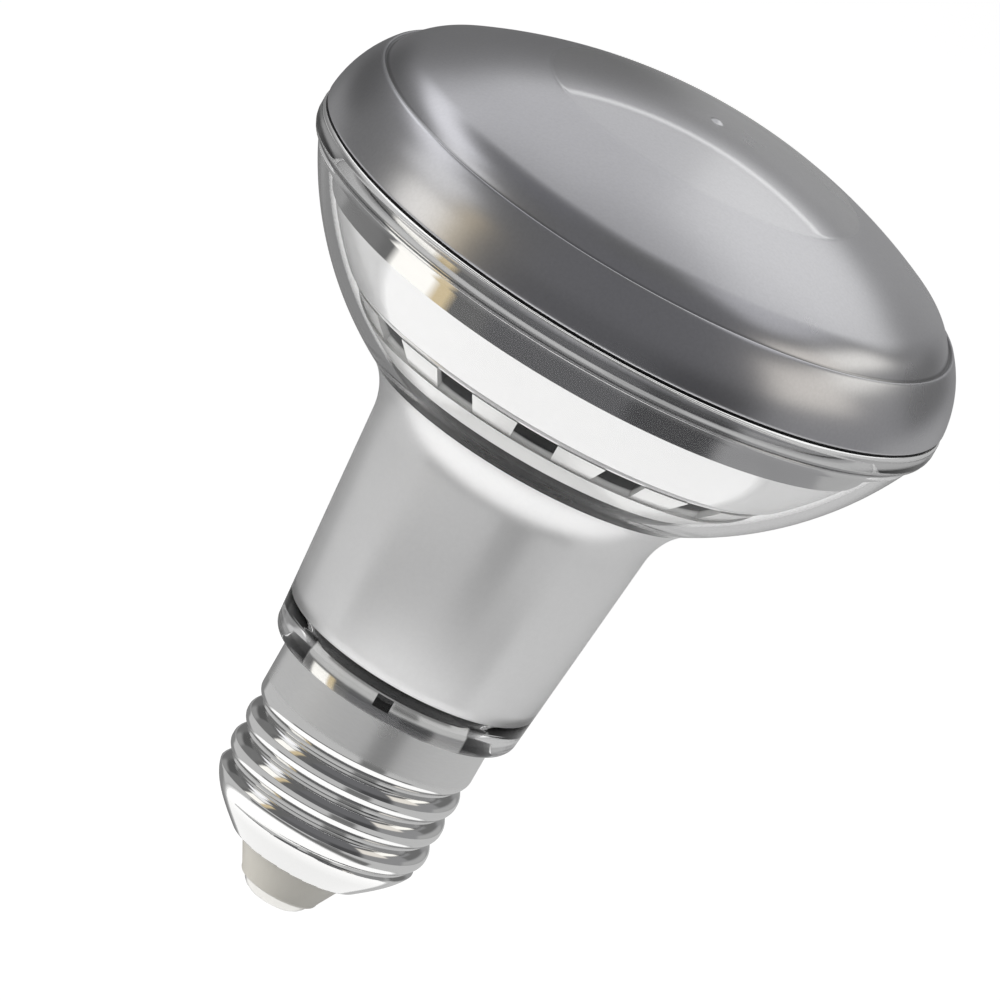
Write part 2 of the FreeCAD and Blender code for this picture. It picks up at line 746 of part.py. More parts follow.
def dome_end(inset):
    """Point where the dome runs into the tighter edge round."""
    across = f"((lens_dome_radius - {inset}) * {LENS_X} / {DOME_REACH})"
    up = f"({DOME_Z} + (lens_dome_radius - {inset}) * {DOME_RISE} / {DOME_REACH})"
    return across, up


def edge_radius_at(height, inset):
    return f"({LENS_X} + sqrt((lens_edge_round - {inset}) ^ 2 - ({height} - {LENS_Z}) ^ 2))"


def fine_groove(centre, face_round, radius, width, depth):
    """Outer lip, bottom and inner lip of a V groove cut square to an arc with the given centre."""
    def on_arc(across, inset):
        lean = f"(({across} - {centre[0]}) / {face_round})"
        reach = f"({face_round} - {inset})"
        return f"({centre[0]} + {reach} * {lean})", f"({centre[1]} + {reach} * sqrt(1 - {lean} ^ 2))"
    return [
        on_arc(f"({radius} + {width} / 2)", "0"),
        on_arc(radius, depth),
        (*on_arc(f"({radius} - {width} / 2)", "0"), face_round),
    ]


def front_lens():
    """Domed cover with a spigot that stands on the reflector's rim inside the glass."""
    spigot = f"({RIM_BORE} - lens_fit)"
    spigot_inner = f"({spigot} - lens_spigot_wall)"
    shelf = f"({LENS_FOOT} + lens_shelf_height)"
    inner_start = f"({shelf} + lens_wall)"
    pole = f"({DOME_Z} + lens_dome_radius)"
    body = new_body("front_lens")
    turn(body, [
        (spigot_inner, REFLECTOR_TOP),
        (spigot, REFLECTOR_TOP),
        (spigot, LENS_FOOT),
        (edge_radius_at(LENS_FOOT, "0"), LENS_FOOT, "lens_edge_round"),
        *fine_groove((LENS_X, LENS_Z), "lens_edge_round", CREASE_RADIUS, "crease_width", "crease_depth"),
        (*dome_end("0"), "lens_dome_radius"),
        *fine_groove(("0", DOME_Z), "lens_dome_radius", "crown_radius", "crown_width", "crown_depth"),
        ("pip_radius", f"{DOME_Z} + sqrt(lens_dome_radius ^ 2 - pip_radius ^ 2)"),
        ("0", f"{pole} + pip_height"),
        ("0", f"{pole} - lens_wall", "-(lens_dome_radius - lens_wall)"),
        (*dome_end("lens_wall"), "-(lens_edge_round - lens_wall)"),
        (edge_radius_at(inner_start, "lens_wall"), inner_start),
        (spigot_inner, shelf),
    ])
    return body


def level_pair(part, up):
    """Pin places at one level, either side of a part's middle."""
    half = f"{part}_pin_pitch / 2"
    return [(f"{part}_across - {half}", up), (f"{part}_across + {half}", up)]


def upright_pair(part, middle):
    """Pin places one above the other, about a part's middle height."""
    half = f"{part}_pin_pitch / 2"
    return [(f"{part}_across", f"{middle} - {half}"), (f"{part}_across", f"{middle} + {half}")]


# Where each part's two pins pass through the driver board: across, and above the housing floor.
PIN_PLACES = {
    "input_capacitor": level_pair("input_can", "input_can_up - can_leg_drop"),
    "output_capacitor": level_pair("output_can", "output_can_up - can_leg_drop"),
    "film_capacitor": level_pair("film", "film_up + film_height / 2"),
    "inductor": level_pair("coil", "coil_up + coil_flange / 2"),
    "surge_varistor": level_pair("varistor", "varistor_up"),
    "fusible_resistor": upright_pair("resistor", "(resistor_up + resistor_length / 2)"),
}


def driver_board():
    """Upright board on the housing floor, drilled for the pins."""
    body = new_body("driver_board")
    sketch = outline_sketch(body, rectangle(f"-{BOARD_HALF_WIDTH}", BOARD_HALF_WIDTH,
                                            HOUSING_FLOOR, f"{HOUSING_FLOOR} + board_height"),
                            "XZ_Plane", "-board_thickness / 2")
    for places in PIN_PLACES.values():
        for across, up in places:
            add_circle(sketch, across, f"{HOUSING_FLOOR} + {up}", "pin_hole_radius")
    extrude(body, sketch, "board_thickness")
    return body


def primitive(kind, name, sizes, across, depth, up, rotation=None):
    """One simple solid with its sizes and place tied to the sheet."""
    solid = doc.addObject(kind, name)
    for size, expression in sizes.items():
        solid.setExpression(size, linked(expression))
    if rotation:
        solid.Placement.Rotation = rotation
    for axis, expression in (("x", across), ("y", depth), ("z", up)):
        solid.setExpression(f"Placement.Base.{axis}", linked(expression))
    return solid


def pins(name, side, reach):
    """Two pins through the board, each from a depth of reach inside the part it belongs to.
    Side is 1 for a part on the board's +Y face and -1 for one on the other face."""
    turned = FreeCAD.Rotation(FreeCAD.Vector(1, 0, 0), 90 * side)
    start = f"{side} * (board_thickness / 2 + part_gap + {reach})"
    sizes = {"Radius": "pin_radius", "Height": f"board_thickness + part_gap + {reach} + pin_stub"}
    return [
        primitive("Part::Cylinder", f"{name}_pin", sizes, across, start, f"{HOUSING_FLOOR} + {up}", turned)
        for across, up in PIN_PLACES[name]
    ]


def with_pins(name, side, reach, solids):
    part = doc.addObject("Part::MultiFuse", name)
    part.Shapes = solids + pins(name, side, reach)
    part.Label = name
    return part


def upright_cylinder(part, radius, height, side, stand_off, lift="0"):
    """Cylinder along Z beside the board. stand_off is its axis's distance from the board's face."""
    depth = f"{side} * (board_thickness / 2 + part_gap + {stand_off})"
    return primitive("Part::Cylinder", f"{part}_drum", {"Radius": radius, "Height": height},
                     f"{part}_across", depth, f"{HOUSING_FLOOR} + {part}_up + {lift}")


def block(part, side, gap):
    """Box on one face of the board, a gap off it."""
    face = f"(board_thickness / 2 + {gap})"
    near = face if side > 0 else f"-({face} + {part}_depth)"
    sizes = {"Length": f"{part}_width", "Width": f"{part}_depth", "Height": f"{part}_height"}
    return primitive("Part::Box", f"{part}_block", sizes,
                     f"{part}_across - {part}_width / 2", near, f"{HOUSING_FLOOR} + {part}_up")


def can_capacitor(name, part):
    """Upright can whose two legs drop from its foot and turn into the board."""
    radius = f"{part}_radius"
    can = upright_cylinder(part, radius, f"{part}_height", 1, radius)
    depth = f"board_thickness / 2 + part_gap + {radius}"
    sizes = {"Radius": "can_leg_radius", "Height": "can_leg_drop + pin_radius"}
    legs = [primitive("Part::Cylinder", f"{part}_leg", sizes, across, depth, f"{HOUSING_FLOOR} + {up}")
            for across, up in PIN_PLACES[name]]
    return with_pins(name, 1, f"({radius} + pin_radius)", [can] + legs)


def film_capacitor():
    return with_pins("film_capacitor", -1, "film_depth / 2", [block("film", -1, "part_gap")])


def inductor():
    """Drum core: two flanges and the winding between them."""
    drums = [("coil_radius", "coil_flange", "0"), ("coil_core_radius", "coil_height", "0"),
             ("coil_radius", "coil_flange", "coil_height - coil_flange")]
    solids = [upright_cylinder("coil", radius, height, -1, "coil_radius", lift)
              for radius, height, lift in drums]
    return with_pins("inductor", -1, "coil_radius", solids)


def surge_varistor():
    """Disc that stands parallel to the board."""
    turned = FreeCAD.Rotation(FreeCAD.Vector(1, 0, 0), 90)
    sizes = {"Radius": "varistor_radius", "Height": "varistor_thickness"}
    disc = primitive("Part::Cylinder", "varistor_disc", sizes, "varistor_across",
                     "-(board_thickness / 2 + part_gap)", f"{HOUSING_FLOOR} + varistor_up", turned)
    return with_pins("surge_varistor", -1, "varistor_thickness / 2", [disc])


def fusible_resistor():
    barrel = upright_cylinder("resistor", "resistor_radius", "resistor_length", -1, "resistor_radius")
    return with_pins("fusible_resistor", -1, "resistor_radius", [barrel])


def flat_package(label, part, side):
    """Surface part, face to face with the board."""
    package = block(part, side, "0")
    package.Label = label
    return package


def centre_lead():
    """Straight wire from the contact's shank to the driver board's lower edge."""
    foot = "(contact_rise + contact_shank_length)"
    sizes = {"Radius": "lead_radius", "Height": f"{HOUSING_FLOOR} - {foot}"}
    lead = primitive("Part::Cylinder", "centre_lead", sizes, "0", "0", foot)
    lead.Label = "centre_lead"
    return lead


def shell_lead():
    """Wire from the driver board down inside the spigot and out under the collar to the shell."""
    bend = "(2 * lead_radius)"
    across = f"({BOARD_HALF_WIDTH} - 4 * lead_radius - spigot_wall)"
    level = f"({SKIRT_TOP} - collar_depth - part_gap - lead_radius)"
    wall = "(skirt_radius - shell_wall - part_gap)"
    body = new_body("shell_lead")
    path = new_sketch(body, "XZ_Plane", "0")
    corner_high = FreeCAD.Vector(value(across), value(f"{level} + {bend}"), 0)
    corner_low = FreeCAD.Vector(value(f"{across} + {bend}"), value(level), 0)
    top = FreeCAD.Vector(value(across), value(HOUSING_FLOOR), 0)
    end = FreeCAD.Vector(value(wall), value(level), 0)
    path.addGeometry(Part.LineSegment(top, corner_high))
    path.addGeometry(arc_between(corner_high, corner_low, value(bend)))
    path.addGeometry(Part.LineSegment(corner_low, end))
    path.addConstraint(Sketcher.Constraint("Coincident", 0, 2, 1, 1))
    path.addConstraint(Sketcher.Constraint("Coincident", 1, 2, 2, 1))
    place_point(path, 0, 1, across, HOUSING_FLOOR)
    place_point(path, 1, 1, across, f"{level} + {bend}")
    place_point(path, 2, 1, f"{across} + {bend}", level)
    place_point(path, 2, 2, wall, level)
    bind(path, Sketcher.Constraint("Radius", 1, value(bend)), bend)
    section = new_sketch(body, "XY_Plane", HOUSING_FLOOR)
    add_circle(section, across, "0", "lead_radius")
    pipe = body.newObject("PartDesign::AdditivePipe", "shell_lead_pipe")
    pipe.Profile = section
    pipe.Spine = path
    return body


def output_leads():
    """Pair of leads from the driver board through the heat sink to the light source board."""
    foot = f"({HOUSING_FLOOR} + board_height - 4 * lead_radius)"
    depth = "board_thickness / 2 + part_gap + lead_radius"
    sizes = {"Radius": "lead_radius", "Height": f"{DISC_TOP} + lead_radius - {foot}"}
    leads = [primitive("Part::Cylinder", "output_lead", sizes, side, depth, foot)
             for side in ("-lead_pitch / 2", "lead_pitch / 2")]
    pair = doc.addObject("Part::Compound", "output_leads")
    pair.Links = leads
    pair.Label = "output_leads"
    return pair


PARTS = [
    centre_contact(),
    cap_insulator(),
    screw_shell(),
    collar_ring(),
    neck_seal(),
    glass_bulb(),
    driver_housing(),
    heat_sink(),
    thermal_pad(),
    led_board(),
    led_packages(),
    board_screws(),
    reflector_cup(),
    seam_seal(),
    front_lens(),
    driver_board(),
    can_capacitor("input_capacitor", "input_can"),
    can_capacitor("output_capacitor", "output_can"),
    film_capacitor(),
    inductor(),
    surge_varistor(),
    fusible_resistor(),
    flat_package("bridge_rectifier", "rectifier", -1),
    flat_package("driver_chip", "chip", 1),
    centre_lead(),
    shell_lead(),
    output_leads(),
]


def check_and_export():
    doc.recompute()
    failed = [item.Label for item in doc.Objects if {"Invalid", "Error"} & set(item.State)]
    if failed:
        raise RuntimeError(f"failed objects: {failed}")
    for part in PARTS:
        if part.Shape.isNull() or not part.Shape.isValid() or not part.Shape.Solids:
            raise RuntimeError(f"no sound solid: {part.Label}")
    os.makedirs("parts", exist_ok=True)
    for part in PARTS:
        part.Shape.exportStep(f"parts/{part.Label}.step")


check_and_export()
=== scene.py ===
import math

import bmesh
import bpy
from mathutils import Matrix, Vector


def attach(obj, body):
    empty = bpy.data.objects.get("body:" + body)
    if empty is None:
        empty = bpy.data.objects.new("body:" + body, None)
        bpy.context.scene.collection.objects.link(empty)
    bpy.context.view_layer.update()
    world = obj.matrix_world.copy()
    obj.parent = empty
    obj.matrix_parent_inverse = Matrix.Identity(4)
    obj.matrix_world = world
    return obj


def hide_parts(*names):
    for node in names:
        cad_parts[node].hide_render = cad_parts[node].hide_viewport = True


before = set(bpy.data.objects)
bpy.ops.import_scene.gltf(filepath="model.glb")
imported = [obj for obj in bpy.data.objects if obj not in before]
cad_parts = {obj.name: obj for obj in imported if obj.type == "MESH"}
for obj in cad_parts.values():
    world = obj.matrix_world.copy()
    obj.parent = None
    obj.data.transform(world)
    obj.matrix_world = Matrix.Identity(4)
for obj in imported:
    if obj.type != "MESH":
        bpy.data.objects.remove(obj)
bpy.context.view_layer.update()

# Reflector lamp. Profiles are written in millimetres as (radius, height) and turned about Z, in metres.
MM = 0.001
AROUND = 240
SHARP = 32
GRAIN_DEPTH = 0.00002

# Heights and radii shared with the construction.
CAP_OPENING = 6.1
SKIRT_TOP = 28.8
COLLAR_TOP = 31.7
HOUSING_BASE = 33.2
HOUSING_FLOOR = 34.4
HOUSING_TOP = 63.4
BAND_FOOT = 66.6
CASTLE_FOOT = 68.9
SINK_TOP = 71.5
FLARE_FOOT = 56.72
SKIRT = 13.15
SHELL_WALL = 0.3
PITCH = 3.629
ROOT = 12.13
THREAD_ROUND = 1.78
TAPER = math.radians(4.97)
NECK = 17.75
FLARE = 9.5
BOWL = 42.73
GLASS = 1.2
FLARE_X = NECK + FLARE * math.cos(TAPER)
FLARE_Z = FLARE_FOOT - FLARE * math.sin(TAPER)
REACH = BOWL + FLARE
BOWL_RISE = math.sqrt(REACH ** 2 - FLARE_X ** 2)
BOWL_Z = FLARE_Z + BOWL_RISE
BOWL_EDGE = 39.1
RIM_FOOT = BOWL_Z - math.sqrt(BOWL ** 2 - BOWL_EDGE ** 2)
RIM_TOP = RIM_FOOT + 3.0
RIM_BORE = 37.9
BEAD = 39.99
LENS_FOOT = RIM_TOP + 0.3
LENS_EDGE = 13.28
LENS_RADIUS = 39.94
LENS_X = LENS_RADIUS - LENS_EDGE
LENS_Z = LENS_FOOT - 0.76
DOME = 69.8
DOME_Z = LENS_Z - math.sqrt((DOME - LENS_EDGE) ** 2 - LENS_X ** 2)
SHOULDER_START = 32.9
SHOULDER_ROUND = 8.1
SHOULDER_LEAN = 61.5
REFLECTOR_TOP = SINK_TOP + 13.4
MIRROR_FOOT = SINK_TOP + 7.8
INSIDE = GLASS + 0.35
COLLAR_BORE = SKIRT - SHELL_WALL - 0.15 - 1.0


def arc(centre, radius, start, end, steps):
    """Points of a circle's arc, from and to angles in degrees."""
    angles = [math.radians(start + (end - start) * i / steps) for i in range(steps + 1)]
    return [(centre[0] + radius * math.cos(a), centre[1] + radius * math.sin(a)) for a in angles]


def arc_to(centre, start, end, steps):
    """The arc about a centre from one point to another, the short way round."""
    first = math.degrees(math.atan2(start[1] - centre[1], start[0] - centre[0]))
    last = math.degrees(math.atan2(end[1] - centre[1], end[0] - centre[0]))
    if last - first > 180:
        last -= 360
    if first - last > 180:
        last += 360
    return arc(centre, math.dist(centre, start), first, last, steps)


def finish_mesh(name, vertices, faces, sharp=SHARP):
    """Mesh object from points in millimetres, smooth apart from edges sharper than an angle in degrees."""
    mesh = bpy.data.meshes.new(name)
    mesh.from_pydata([Vector(v) * MM for v in vertices], [], faces)
    mesh.validate()
    mesh.update()
    mesh.shade_smooth()
    mesh.set_sharp_from_angle(angle=math.radians(sharp))
    piece = bpy.data.objects.new(name, mesh)
    bpy.context.scene.collection.objects.link(piece)
    return piece


def lathe(name, profile, around=AROUND):
    """Turn a closed profile about Z. Points on the axis become one vertex."""
    vertices = []
    rings = []
    for radius, height in profile:
        if radius < 1e-6:
            rings.append([len(vertices)])
            vertices.append((0, 0, height))
            continue
        rings.append(list(range(len(vertices), len(vertices) + around)))
        for i in range(around):
            angle = 2 * math.pi * i / around
            vertices.append((radius * math.cos(angle), radius * math.sin(angle), height))
    faces = []
    for lower, upper in zip(rings, rings[1:] + rings[:1]):
        if len(lower) == 1 and len(upper) == 1:
            continue
        for i in range(around):
            j = (i + 1) % around
            face = [lower[i % len(lower)], lower[j % len(lower)],
                    upper[j % len(upper)], upper[i % len(upper)]]
            unique = [v for k, v in enumerate(face) if v not in face[:k]]
            faces.append(unique)
    return finish_mesh(name, vertices, faces)


def stands_for(piece, node, material):
    """Dress the piece, seat it on the body and let it take the node's place."""
    piece.data.materials.clear()
    piece.data.materials.append(material)
    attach(piece, "root")
    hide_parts(node)
    return piece


def on_edge(radius, inset=0.0):
    """Point of the lens's tight shoulder at a radius, a distance in from its face."""
    lean = (radius - LENS_X) / LENS_EDGE
    reach = LENS_EDGE - inset
    return LENS_X + reach * lean, LENS_Z + reach * math.sqrt(1 - lean ** 2)


def on_dome(radius, inset=0.0):
    """Point of the lens's broad dome at a radius, a distance in from its face."""
    lean = radius / DOME
    reach = DOME - inset
    return reach * lean, DOME_Z + reach * math.sqrt(1 - lean ** 2)


def dome_end(inset):
    """Point where the dome passes into the tight shoulder."""
    share = (DOME - inset) / (DOME - LENS_EDGE)
    return LENS_X * share, DOME_Z + (LENS_Z - DOME_Z) * share


def lens_profile():
    """Cover from its spigot over the foot, the edge, the crease and the dome to the mark at the pole."""
    foot_radius = LENS_X + math.sqrt(LENS_EDGE ** 2 - (LENS_FOOT - LENS_Z) ** 2)
    wall = 1.6
    shelf = LENS_FOOT + 0.9
    inner_foot = (LENS_X + math.sqrt((LENS_EDGE - wall) ** 2 - (shelf + wall - LENS_Z) ** 2), shelf + wall)
    bore, spigot = 36.3, 37.6
    profile = [(bore, REFLECTOR_TOP), (spigot, REFLECTOR_TOP), (spigot, LENS_FOOT)]
    profile += [(foot_radius - 0.4, LENS_FOOT)]
    profile += arc((foot_radius - 0.4, LENS_FOOT + 0.4), 0.4, -82, -8, 6)
    profile += arc_to((LENS_X, LENS_Z), (foot_radius, LENS_FOOT + 0.45), on_edge(36.88), 26)
    profile += [(36.8, 94.34), (36.7, 94.35), (36.6, 94.3), (36.52, 94.2), (36.44, 94.12), (36.36, 94.1)]
    centre = on_dome(SHOULDER_START, SHOULDER_ROUND)
    lean = math.degrees(math.asin(SHOULDER_START / DOME))
    profile += arc(centre, SHOULDER_ROUND, 90 - SHOULDER_LEAN, 90 - lean, 26)
    profile += arc_to((0, DOME_Z), on_dome(SHOULDER_START), on_dome(20.35), 26)[1:]
    groove = [(20.2, 0.005), (20.05, 0.02), (19.9, 0.02), (19.75, 0.005), (19.6, 0)]
    profile += [on_dome(radius, depth) for radius, depth in groove]
    profile += arc_to((0, DOME_Z), on_dome(19.4), on_dome(1.3), 34)
    pole = DOME_Z + DOME
    profile += [on_dome(1.0, 0.03), (0.8, pole - 0.02), (0.62, pole + 0.1), (0.4, pole + 0.2)]
    profile += [(0.2, pole + 0.24), (0, pole + 0.245), (0, pole - wall)]
    profile += arc_to((0, DOME_Z), (0.5, pole - wall), dome_end(wall), 24)
    profile += arc_to((LENS_X, LENS_Z), dome_end(wall), inner_foot, 20)[1:]
    profile += [(bore, shelf)]
    return profile


def neck_radius(height, inset):
    """Radius of the tapered neck at a height, a distance in from the glass's face."""
    top = NECK - inset * math.cos(TAPER)
    return top - (FLARE_FOOT + inset * math.sin(TAPER) - height) * math.tan(TAPER)


def neck_end(inset):
    """Point where the neck passes into the flare."""
    return NECK - inset * math.cos(TAPER), FLARE_FOOT + inset * math.sin(TAPER)


def flare_end(inset):
    """Point where the flare passes into the bowl."""
    share = (BOWL - inset) / REACH
    return FLARE_X * share, BOWL_Z - BOWL_RISE * share


def flare_radius_at(height, inset):
    return FLARE_X - math.sqrt((FLARE + inset) ** 2 - (height - FLARE_Z) ** 2)


def bowl_radius_at(height, inset):
    return math.sqrt((BOWL - inset) ** 2 - (BOWL_Z - height) ** 2)


def bowl_height_at(radius, inset):
    return BOWL_Z - math.sqrt((BOWL - inset) ** 2 - radius ** 2)


def glass_profile():
    """One wall from the rounded lip at the cap up to the bead at the rim, and back down inside."""
    bore = SKIRT + 0.3
    lip_end = SKIRT_TOP + 1.7
    lip_radius = neck_radius(lip_end, 0)
    cone_end = SKIRT_TOP + 4.2
    profile = [(bore, SKIRT_TOP + 0.15)] + arc((bore + 0.15, SKIRT_TOP + 0.15), 0.15, 190, 260, 3)
    profile += arc((lip_radius - 1.7, lip_end), 1.7, -90, -4.97, 14)
    profile += [neck_end(0)]
    profile += arc_to((FLARE_X, FLARE_Z), neck_end(0), flare_end(0), 30)[1:]
    profile += arc_to((0, BOWL_Z), flare_end(0), (BOWL_EDGE, RIM_FOOT), 46)[1:]
    profile += [(39.35, RIM_FOOT + 0.12), (39.72, RIM_FOOT + 0.42), (39.92, RIM_FOOT + 0.85)]
    profile += [(BEAD, RIM_FOOT + 1.2), (BEAD, RIM_TOP - 0.7)]
    profile += arc((39.3, RIM_TOP - 0.7), 0.7, 10, 80, 6) + [(39.3, RIM_TOP)]
    profile += [(38.1, RIM_TOP), (37.95, RIM_TOP - 0.05), (RIM_BORE, RIM_TOP - 0.2)]
    profile += arc_to((0, BOWL_Z), (RIM_BORE, bowl_height_at(RIM_BORE, GLASS)), flare_end(GLASS), 46)
    profile += arc_to((FLARE_X, FLARE_Z), flare_end(GLASS), neck_end(GLASS), 30)[1:]
    profile += [(neck_radius(cone_end + 0.6, GLASS), cone_end + 0.6)]
    profile += [(neck_radius(cone_end, GLASS) - 0.05, cone_end)]
    profile += [(bore + 0.1, SKIRT_TOP + 2.5), (bore, SKIRT_TOP + 2.2)]
    return profile


def housing_profile():
    """The sleeve lies against the glass, so no air shows between the two."""
    face = GLASS - 0.1
    inner = face + 1.2
    spigot = COLLAR_BORE - 0.3
    top = flare_radius_at(HOUSING_TOP, face)
    base = neck_radius(HOUSING_BASE, face)
    profile = [(spigot - 1.1, HOUSING_BASE - 6), (spigot, HOUSING_BASE - 6), (spigot, HOUSING_BASE)]
    profile += [(base - 0.35, HOUSING_BASE), (base - 0.1, HOUSING_BASE + 0.1), (base, HOUSING_BASE + 0.35)]
    profile += [neck_end(face)]
    profile += arc_to((FLARE_X, FLARE_Z), neck_end(face), (top, HOUSING_TOP), 22)[1:]
    profile += [(13.0, HOUSING_TOP), (13.0, HOUSING_TOP - 1.2)]
    ceiling = HOUSING_TOP - 1.2
    profile += arc_to((FLARE_X, FLARE_Z), (flare_radius_at(ceiling, inner), ceiling), neck_end(inner), 16)
    profile += [(neck_radius(HOUSING_FLOOR, inner), HOUSING_FLOOR), (spigot - 1.1, HOUSING_FLOOR)]
    return profile


def reflector_profile():
    """Pale bowl with a rounded foot, the upright polished band above it and the rim."""
    bowl_face = INSIDE + 0.25
    inner = bowl_face + 0.8
    band_top = SINK_TOP + 11.2
    foot = bowl_radius_at(MIRROR_FOOT, INSIDE)
    top = bowl_radius_at(band_top + 0.4, INSIDE)
    edge = bowl_radius_at(SINK_TOP, bowl_face)
    profile = [(25.0, SINK_TOP), (edge - 0.5, SINK_TOP)]
    profile += arc((edge - 0.45, SINK_TOP + 0.28), 0.28, -85, 60, 8)
    profile += [(edge - 0.15, SINK_TOP + 0.62)]
    profile += arc_to((0, BOWL_Z), (bowl_radius_at(SINK_TOP + 0.85, bowl_face), SINK_TOP + 0.85),
                      (bowl_radius_at(MIRROR_FOOT, bowl_face), MIRROR_FOOT), 24)
    profile += [(foot, MIRROR_FOOT + 0.05), (foot - 0.35, band_top - 0.15), (foot - 0.2, band_top)]
    profile += [(top - 0.1, band_top + 0.3), (top, band_top + 0.5), (top, REFLECTOR_TOP)]
    profile += [(foot - 0.8, REFLECTOR_TOP), (foot - 0.8, band_top)]
    floor_top = SINK_TOP + 0.8
    profile += arc_to((0, BOWL_Z), (bowl_radius_at(MIRROR_FOOT, inner), MIRROR_FOOT),
                      (bowl_radius_at(floor_top, inner), floor_top), 24)
    profile += [(25.0, floor_top)]
    return profile


def sink_profile():
    """Spigot in the sleeve, hub, smooth band against the glass and the part that the slots are cut in."""
    bore, spigot, hub = 4.0, 12.7, 16.5
    foot = HOUSING_TOP - 3.6
    profile = [(bore, foot), (spigot, foot), (spigot, HOUSING_TOP), (hub, HOUSING_TOP)]
    profile += [(hub, BAND_FOOT)]
    profile += arc_to((0, BOWL_Z), (bowl_radius_at(BAND_FOOT, INSIDE), BAND_FOOT),
                      (bowl_radius_at(CASTLE_FOOT, INSIDE), CASTLE_FOOT), 6)
    profile += [(bowl_radius_at(CASTLE_FOOT, INSIDE) - 0.4, CASTLE_FOOT)]
    profile += [(bowl_radius_at(SINK_TOP, INSIDE) - 0.4, SINK_TOP), (bore, SINK_TOP)]
    return profile


def box_mesh(name, boxes):
    """Boxes in millimetres as one cutter: each is the low corner, the high corner and a turn about Z."""
    vertices = []
    faces = []
    for low, high, turned in boxes:
        first = len(vertices)
        spin = Matrix.Rotation(turned, 3, "Z")
        for x in (low[0], high[0]):
            for y in (low[1], high[1]):
                for z in (low[2], high[2]):
                    vertices.append(spin @ Vector((x, y, z)))
        for face in ((0, 1, 3, 2), (4, 6, 7, 5), (0, 4, 5, 1), (2, 3, 7, 6), (0, 2, 6, 4), (1, 5, 7, 3)):
            faces.append([first + i for i in face])
    return finish_mesh(name, vertices, faces)


def cut(piece, cutter):
    """Take the cutter's boxes out of the piece and keep the result as the piece's mesh."""
    modifier = piece.modifiers.new("cut", "BOOLEAN")
    modifier.operation = "DIFFERENCE"
    modifier.solver = "EXACT"
    modifier.object = cutter
    bpy.context.view_layer.update()
    graph = bpy.context.evaluated_depsgraph_get()
    result = bpy.data.meshes.new_from_object(piece.evaluated_get(graph))
    piece.modifiers.clear()
    piece.data = result
    result.shade_smooth()
    result.set_sharp_from_angle(angle=math.radians(SHARP))
    bpy.data.objects.remove(cutter)


def shell_form(height):
    """Radius of the cap's plain form: a bowed shoulder that ends in the skirt."""
    opening = 8.3
    shoulder = 6.8
    share = min(1, (height - CAP_OPENING) / shoulder)
    return opening + (SKIRT - opening) * math.sin(share * math.pi / 2)


def thread_radius(offset):
    """Radius at a height offset from the nearest groove's middle, crests half a pitch away."""
    crest_flat = 0.6
    crest_centre = SKIRT - math.sqrt(THREAD_ROUND ** 2 - (crest_flat / 2) ** 2)
    across = PITCH / 2 - abs(offset)
    rise = THREAD_ROUND ** 2 - across ** 2
    return max(ROOT, crest_centre + math.sqrt(max(rise, 0)))


def shell_mesh():
    """Cap drawn as one strip that winds up the helix, clamped at the rim and at the skirt's edge."""
    per_turn = 96
    strips = 28
    across = [i / strips - 0.5 for i in range(strips + 1)]
    first_turn, last_turn = -2, 7
    start = CAP_OPENING + 1.68
    groove_end = 4.25
    fade = 9
    vertices = []
    count = (last_turn - first_turn) * per_turn
    for step in range(count + 1):
        turns = first_turn + step / per_turn
        angle = 2 * math.pi * turns
        for share in across:
            height = start + PITCH * (turns + share)
            depth = min(1, max(0, (groove_end - turns) * fade + 0.5))
            level = min(max(height, CAP_OPENING), SKIRT_TOP)
            form = shell_form(level)
            groove = SKIRT - (SKIRT - thread_radius(share * PITCH)) * (depth * depth * (3 - 2 * depth))
            radius = min(form, groove)
            vertices.append((radius * math.cos(angle), radius * math.sin(angle), level))
    width = len(across)
    faces = []
    for step in range(count):
        for i in range(width - 1):
            a = step * width + i
            corners = (a, a + width, a + width + 1, a + 1)
            levels = {round(vertices[v][2], 6) for v in corners}
            if len(levels) > 1:
                faces.append(corners)
    return vertices, faces


def screw_shell():
    """Cap as a thin sheet with its thread, without doubled points at the clamped edges."""
    sharp = 40
    vertices, faces = shell_mesh()
    piece = finish_mesh("cap_shell", vertices, faces, sharp)
    work = bmesh.new()
    work.from_mesh(piece.data)
    bmesh.ops.remove_doubles(work, verts=work.verts, dist=0.00002)
    bmesh.ops.dissolve_degenerate(work, edges=work.edges, dist=0.00001)
    bmesh.ops.recalc_face_normals(work, faces=work.faces)
    loose = [v for v in work.verts if not v.link_faces]
    bmesh.ops.delete(work, geom=loose, context="VERTS")
    work.to_mesh(piece.data)
    work.free()
    piece.data.shade_smooth()
    piece.data.set_sharp_from_angle(angle=math.radians(sharp))
    wall = piece.modifiers.new("wall", "SOLIDIFY")
    wall.thickness = SHELL_WALL * MM
    wall.offset = -1
    return piece


# Materials. Each has its own fine detail from procedural textures in object space.

# Heights above the tip and distances from the axis over which one finish turns into another, or into painted
# shade, in metres.
CONE_TONE = (0.0088, 0.0104)
SATIN_SKIRT = (0.0234, 0.0238)
LIP_END = (0.0328, 0.0336)
SLEEVE_FOOT = (0.03322, 0.03326)
MIRROR_EDGE = ((MIRROR_FOOT - 0.1) * MM, MIRROR_FOOT * MM)
BEAD_START = ((RIM_FOOT - 0.9) * MM, (RIM_FOOT + 0.1) * MM)
COLLAR_SHADE_EDGE = (0.0096, 0.0098)
CROWN_EDGE = (0.0196, 0.0202)
CREASE_INNER = (0.03605, 0.0362)
CREASE_OUTER = (0.03656, 0.03662)
SINK_LEAN = -1.2
SINK_FACE = (-0.0579, -0.0575)
WALL_BENDING = 1.1
GLASS_BENDING = 1.48
DULL = 0.1
# Black of the painted shade on the collar's sides and in the heat sink's recesses.
SHADOW_BLACK = (0.010, 0.010, 0.011)


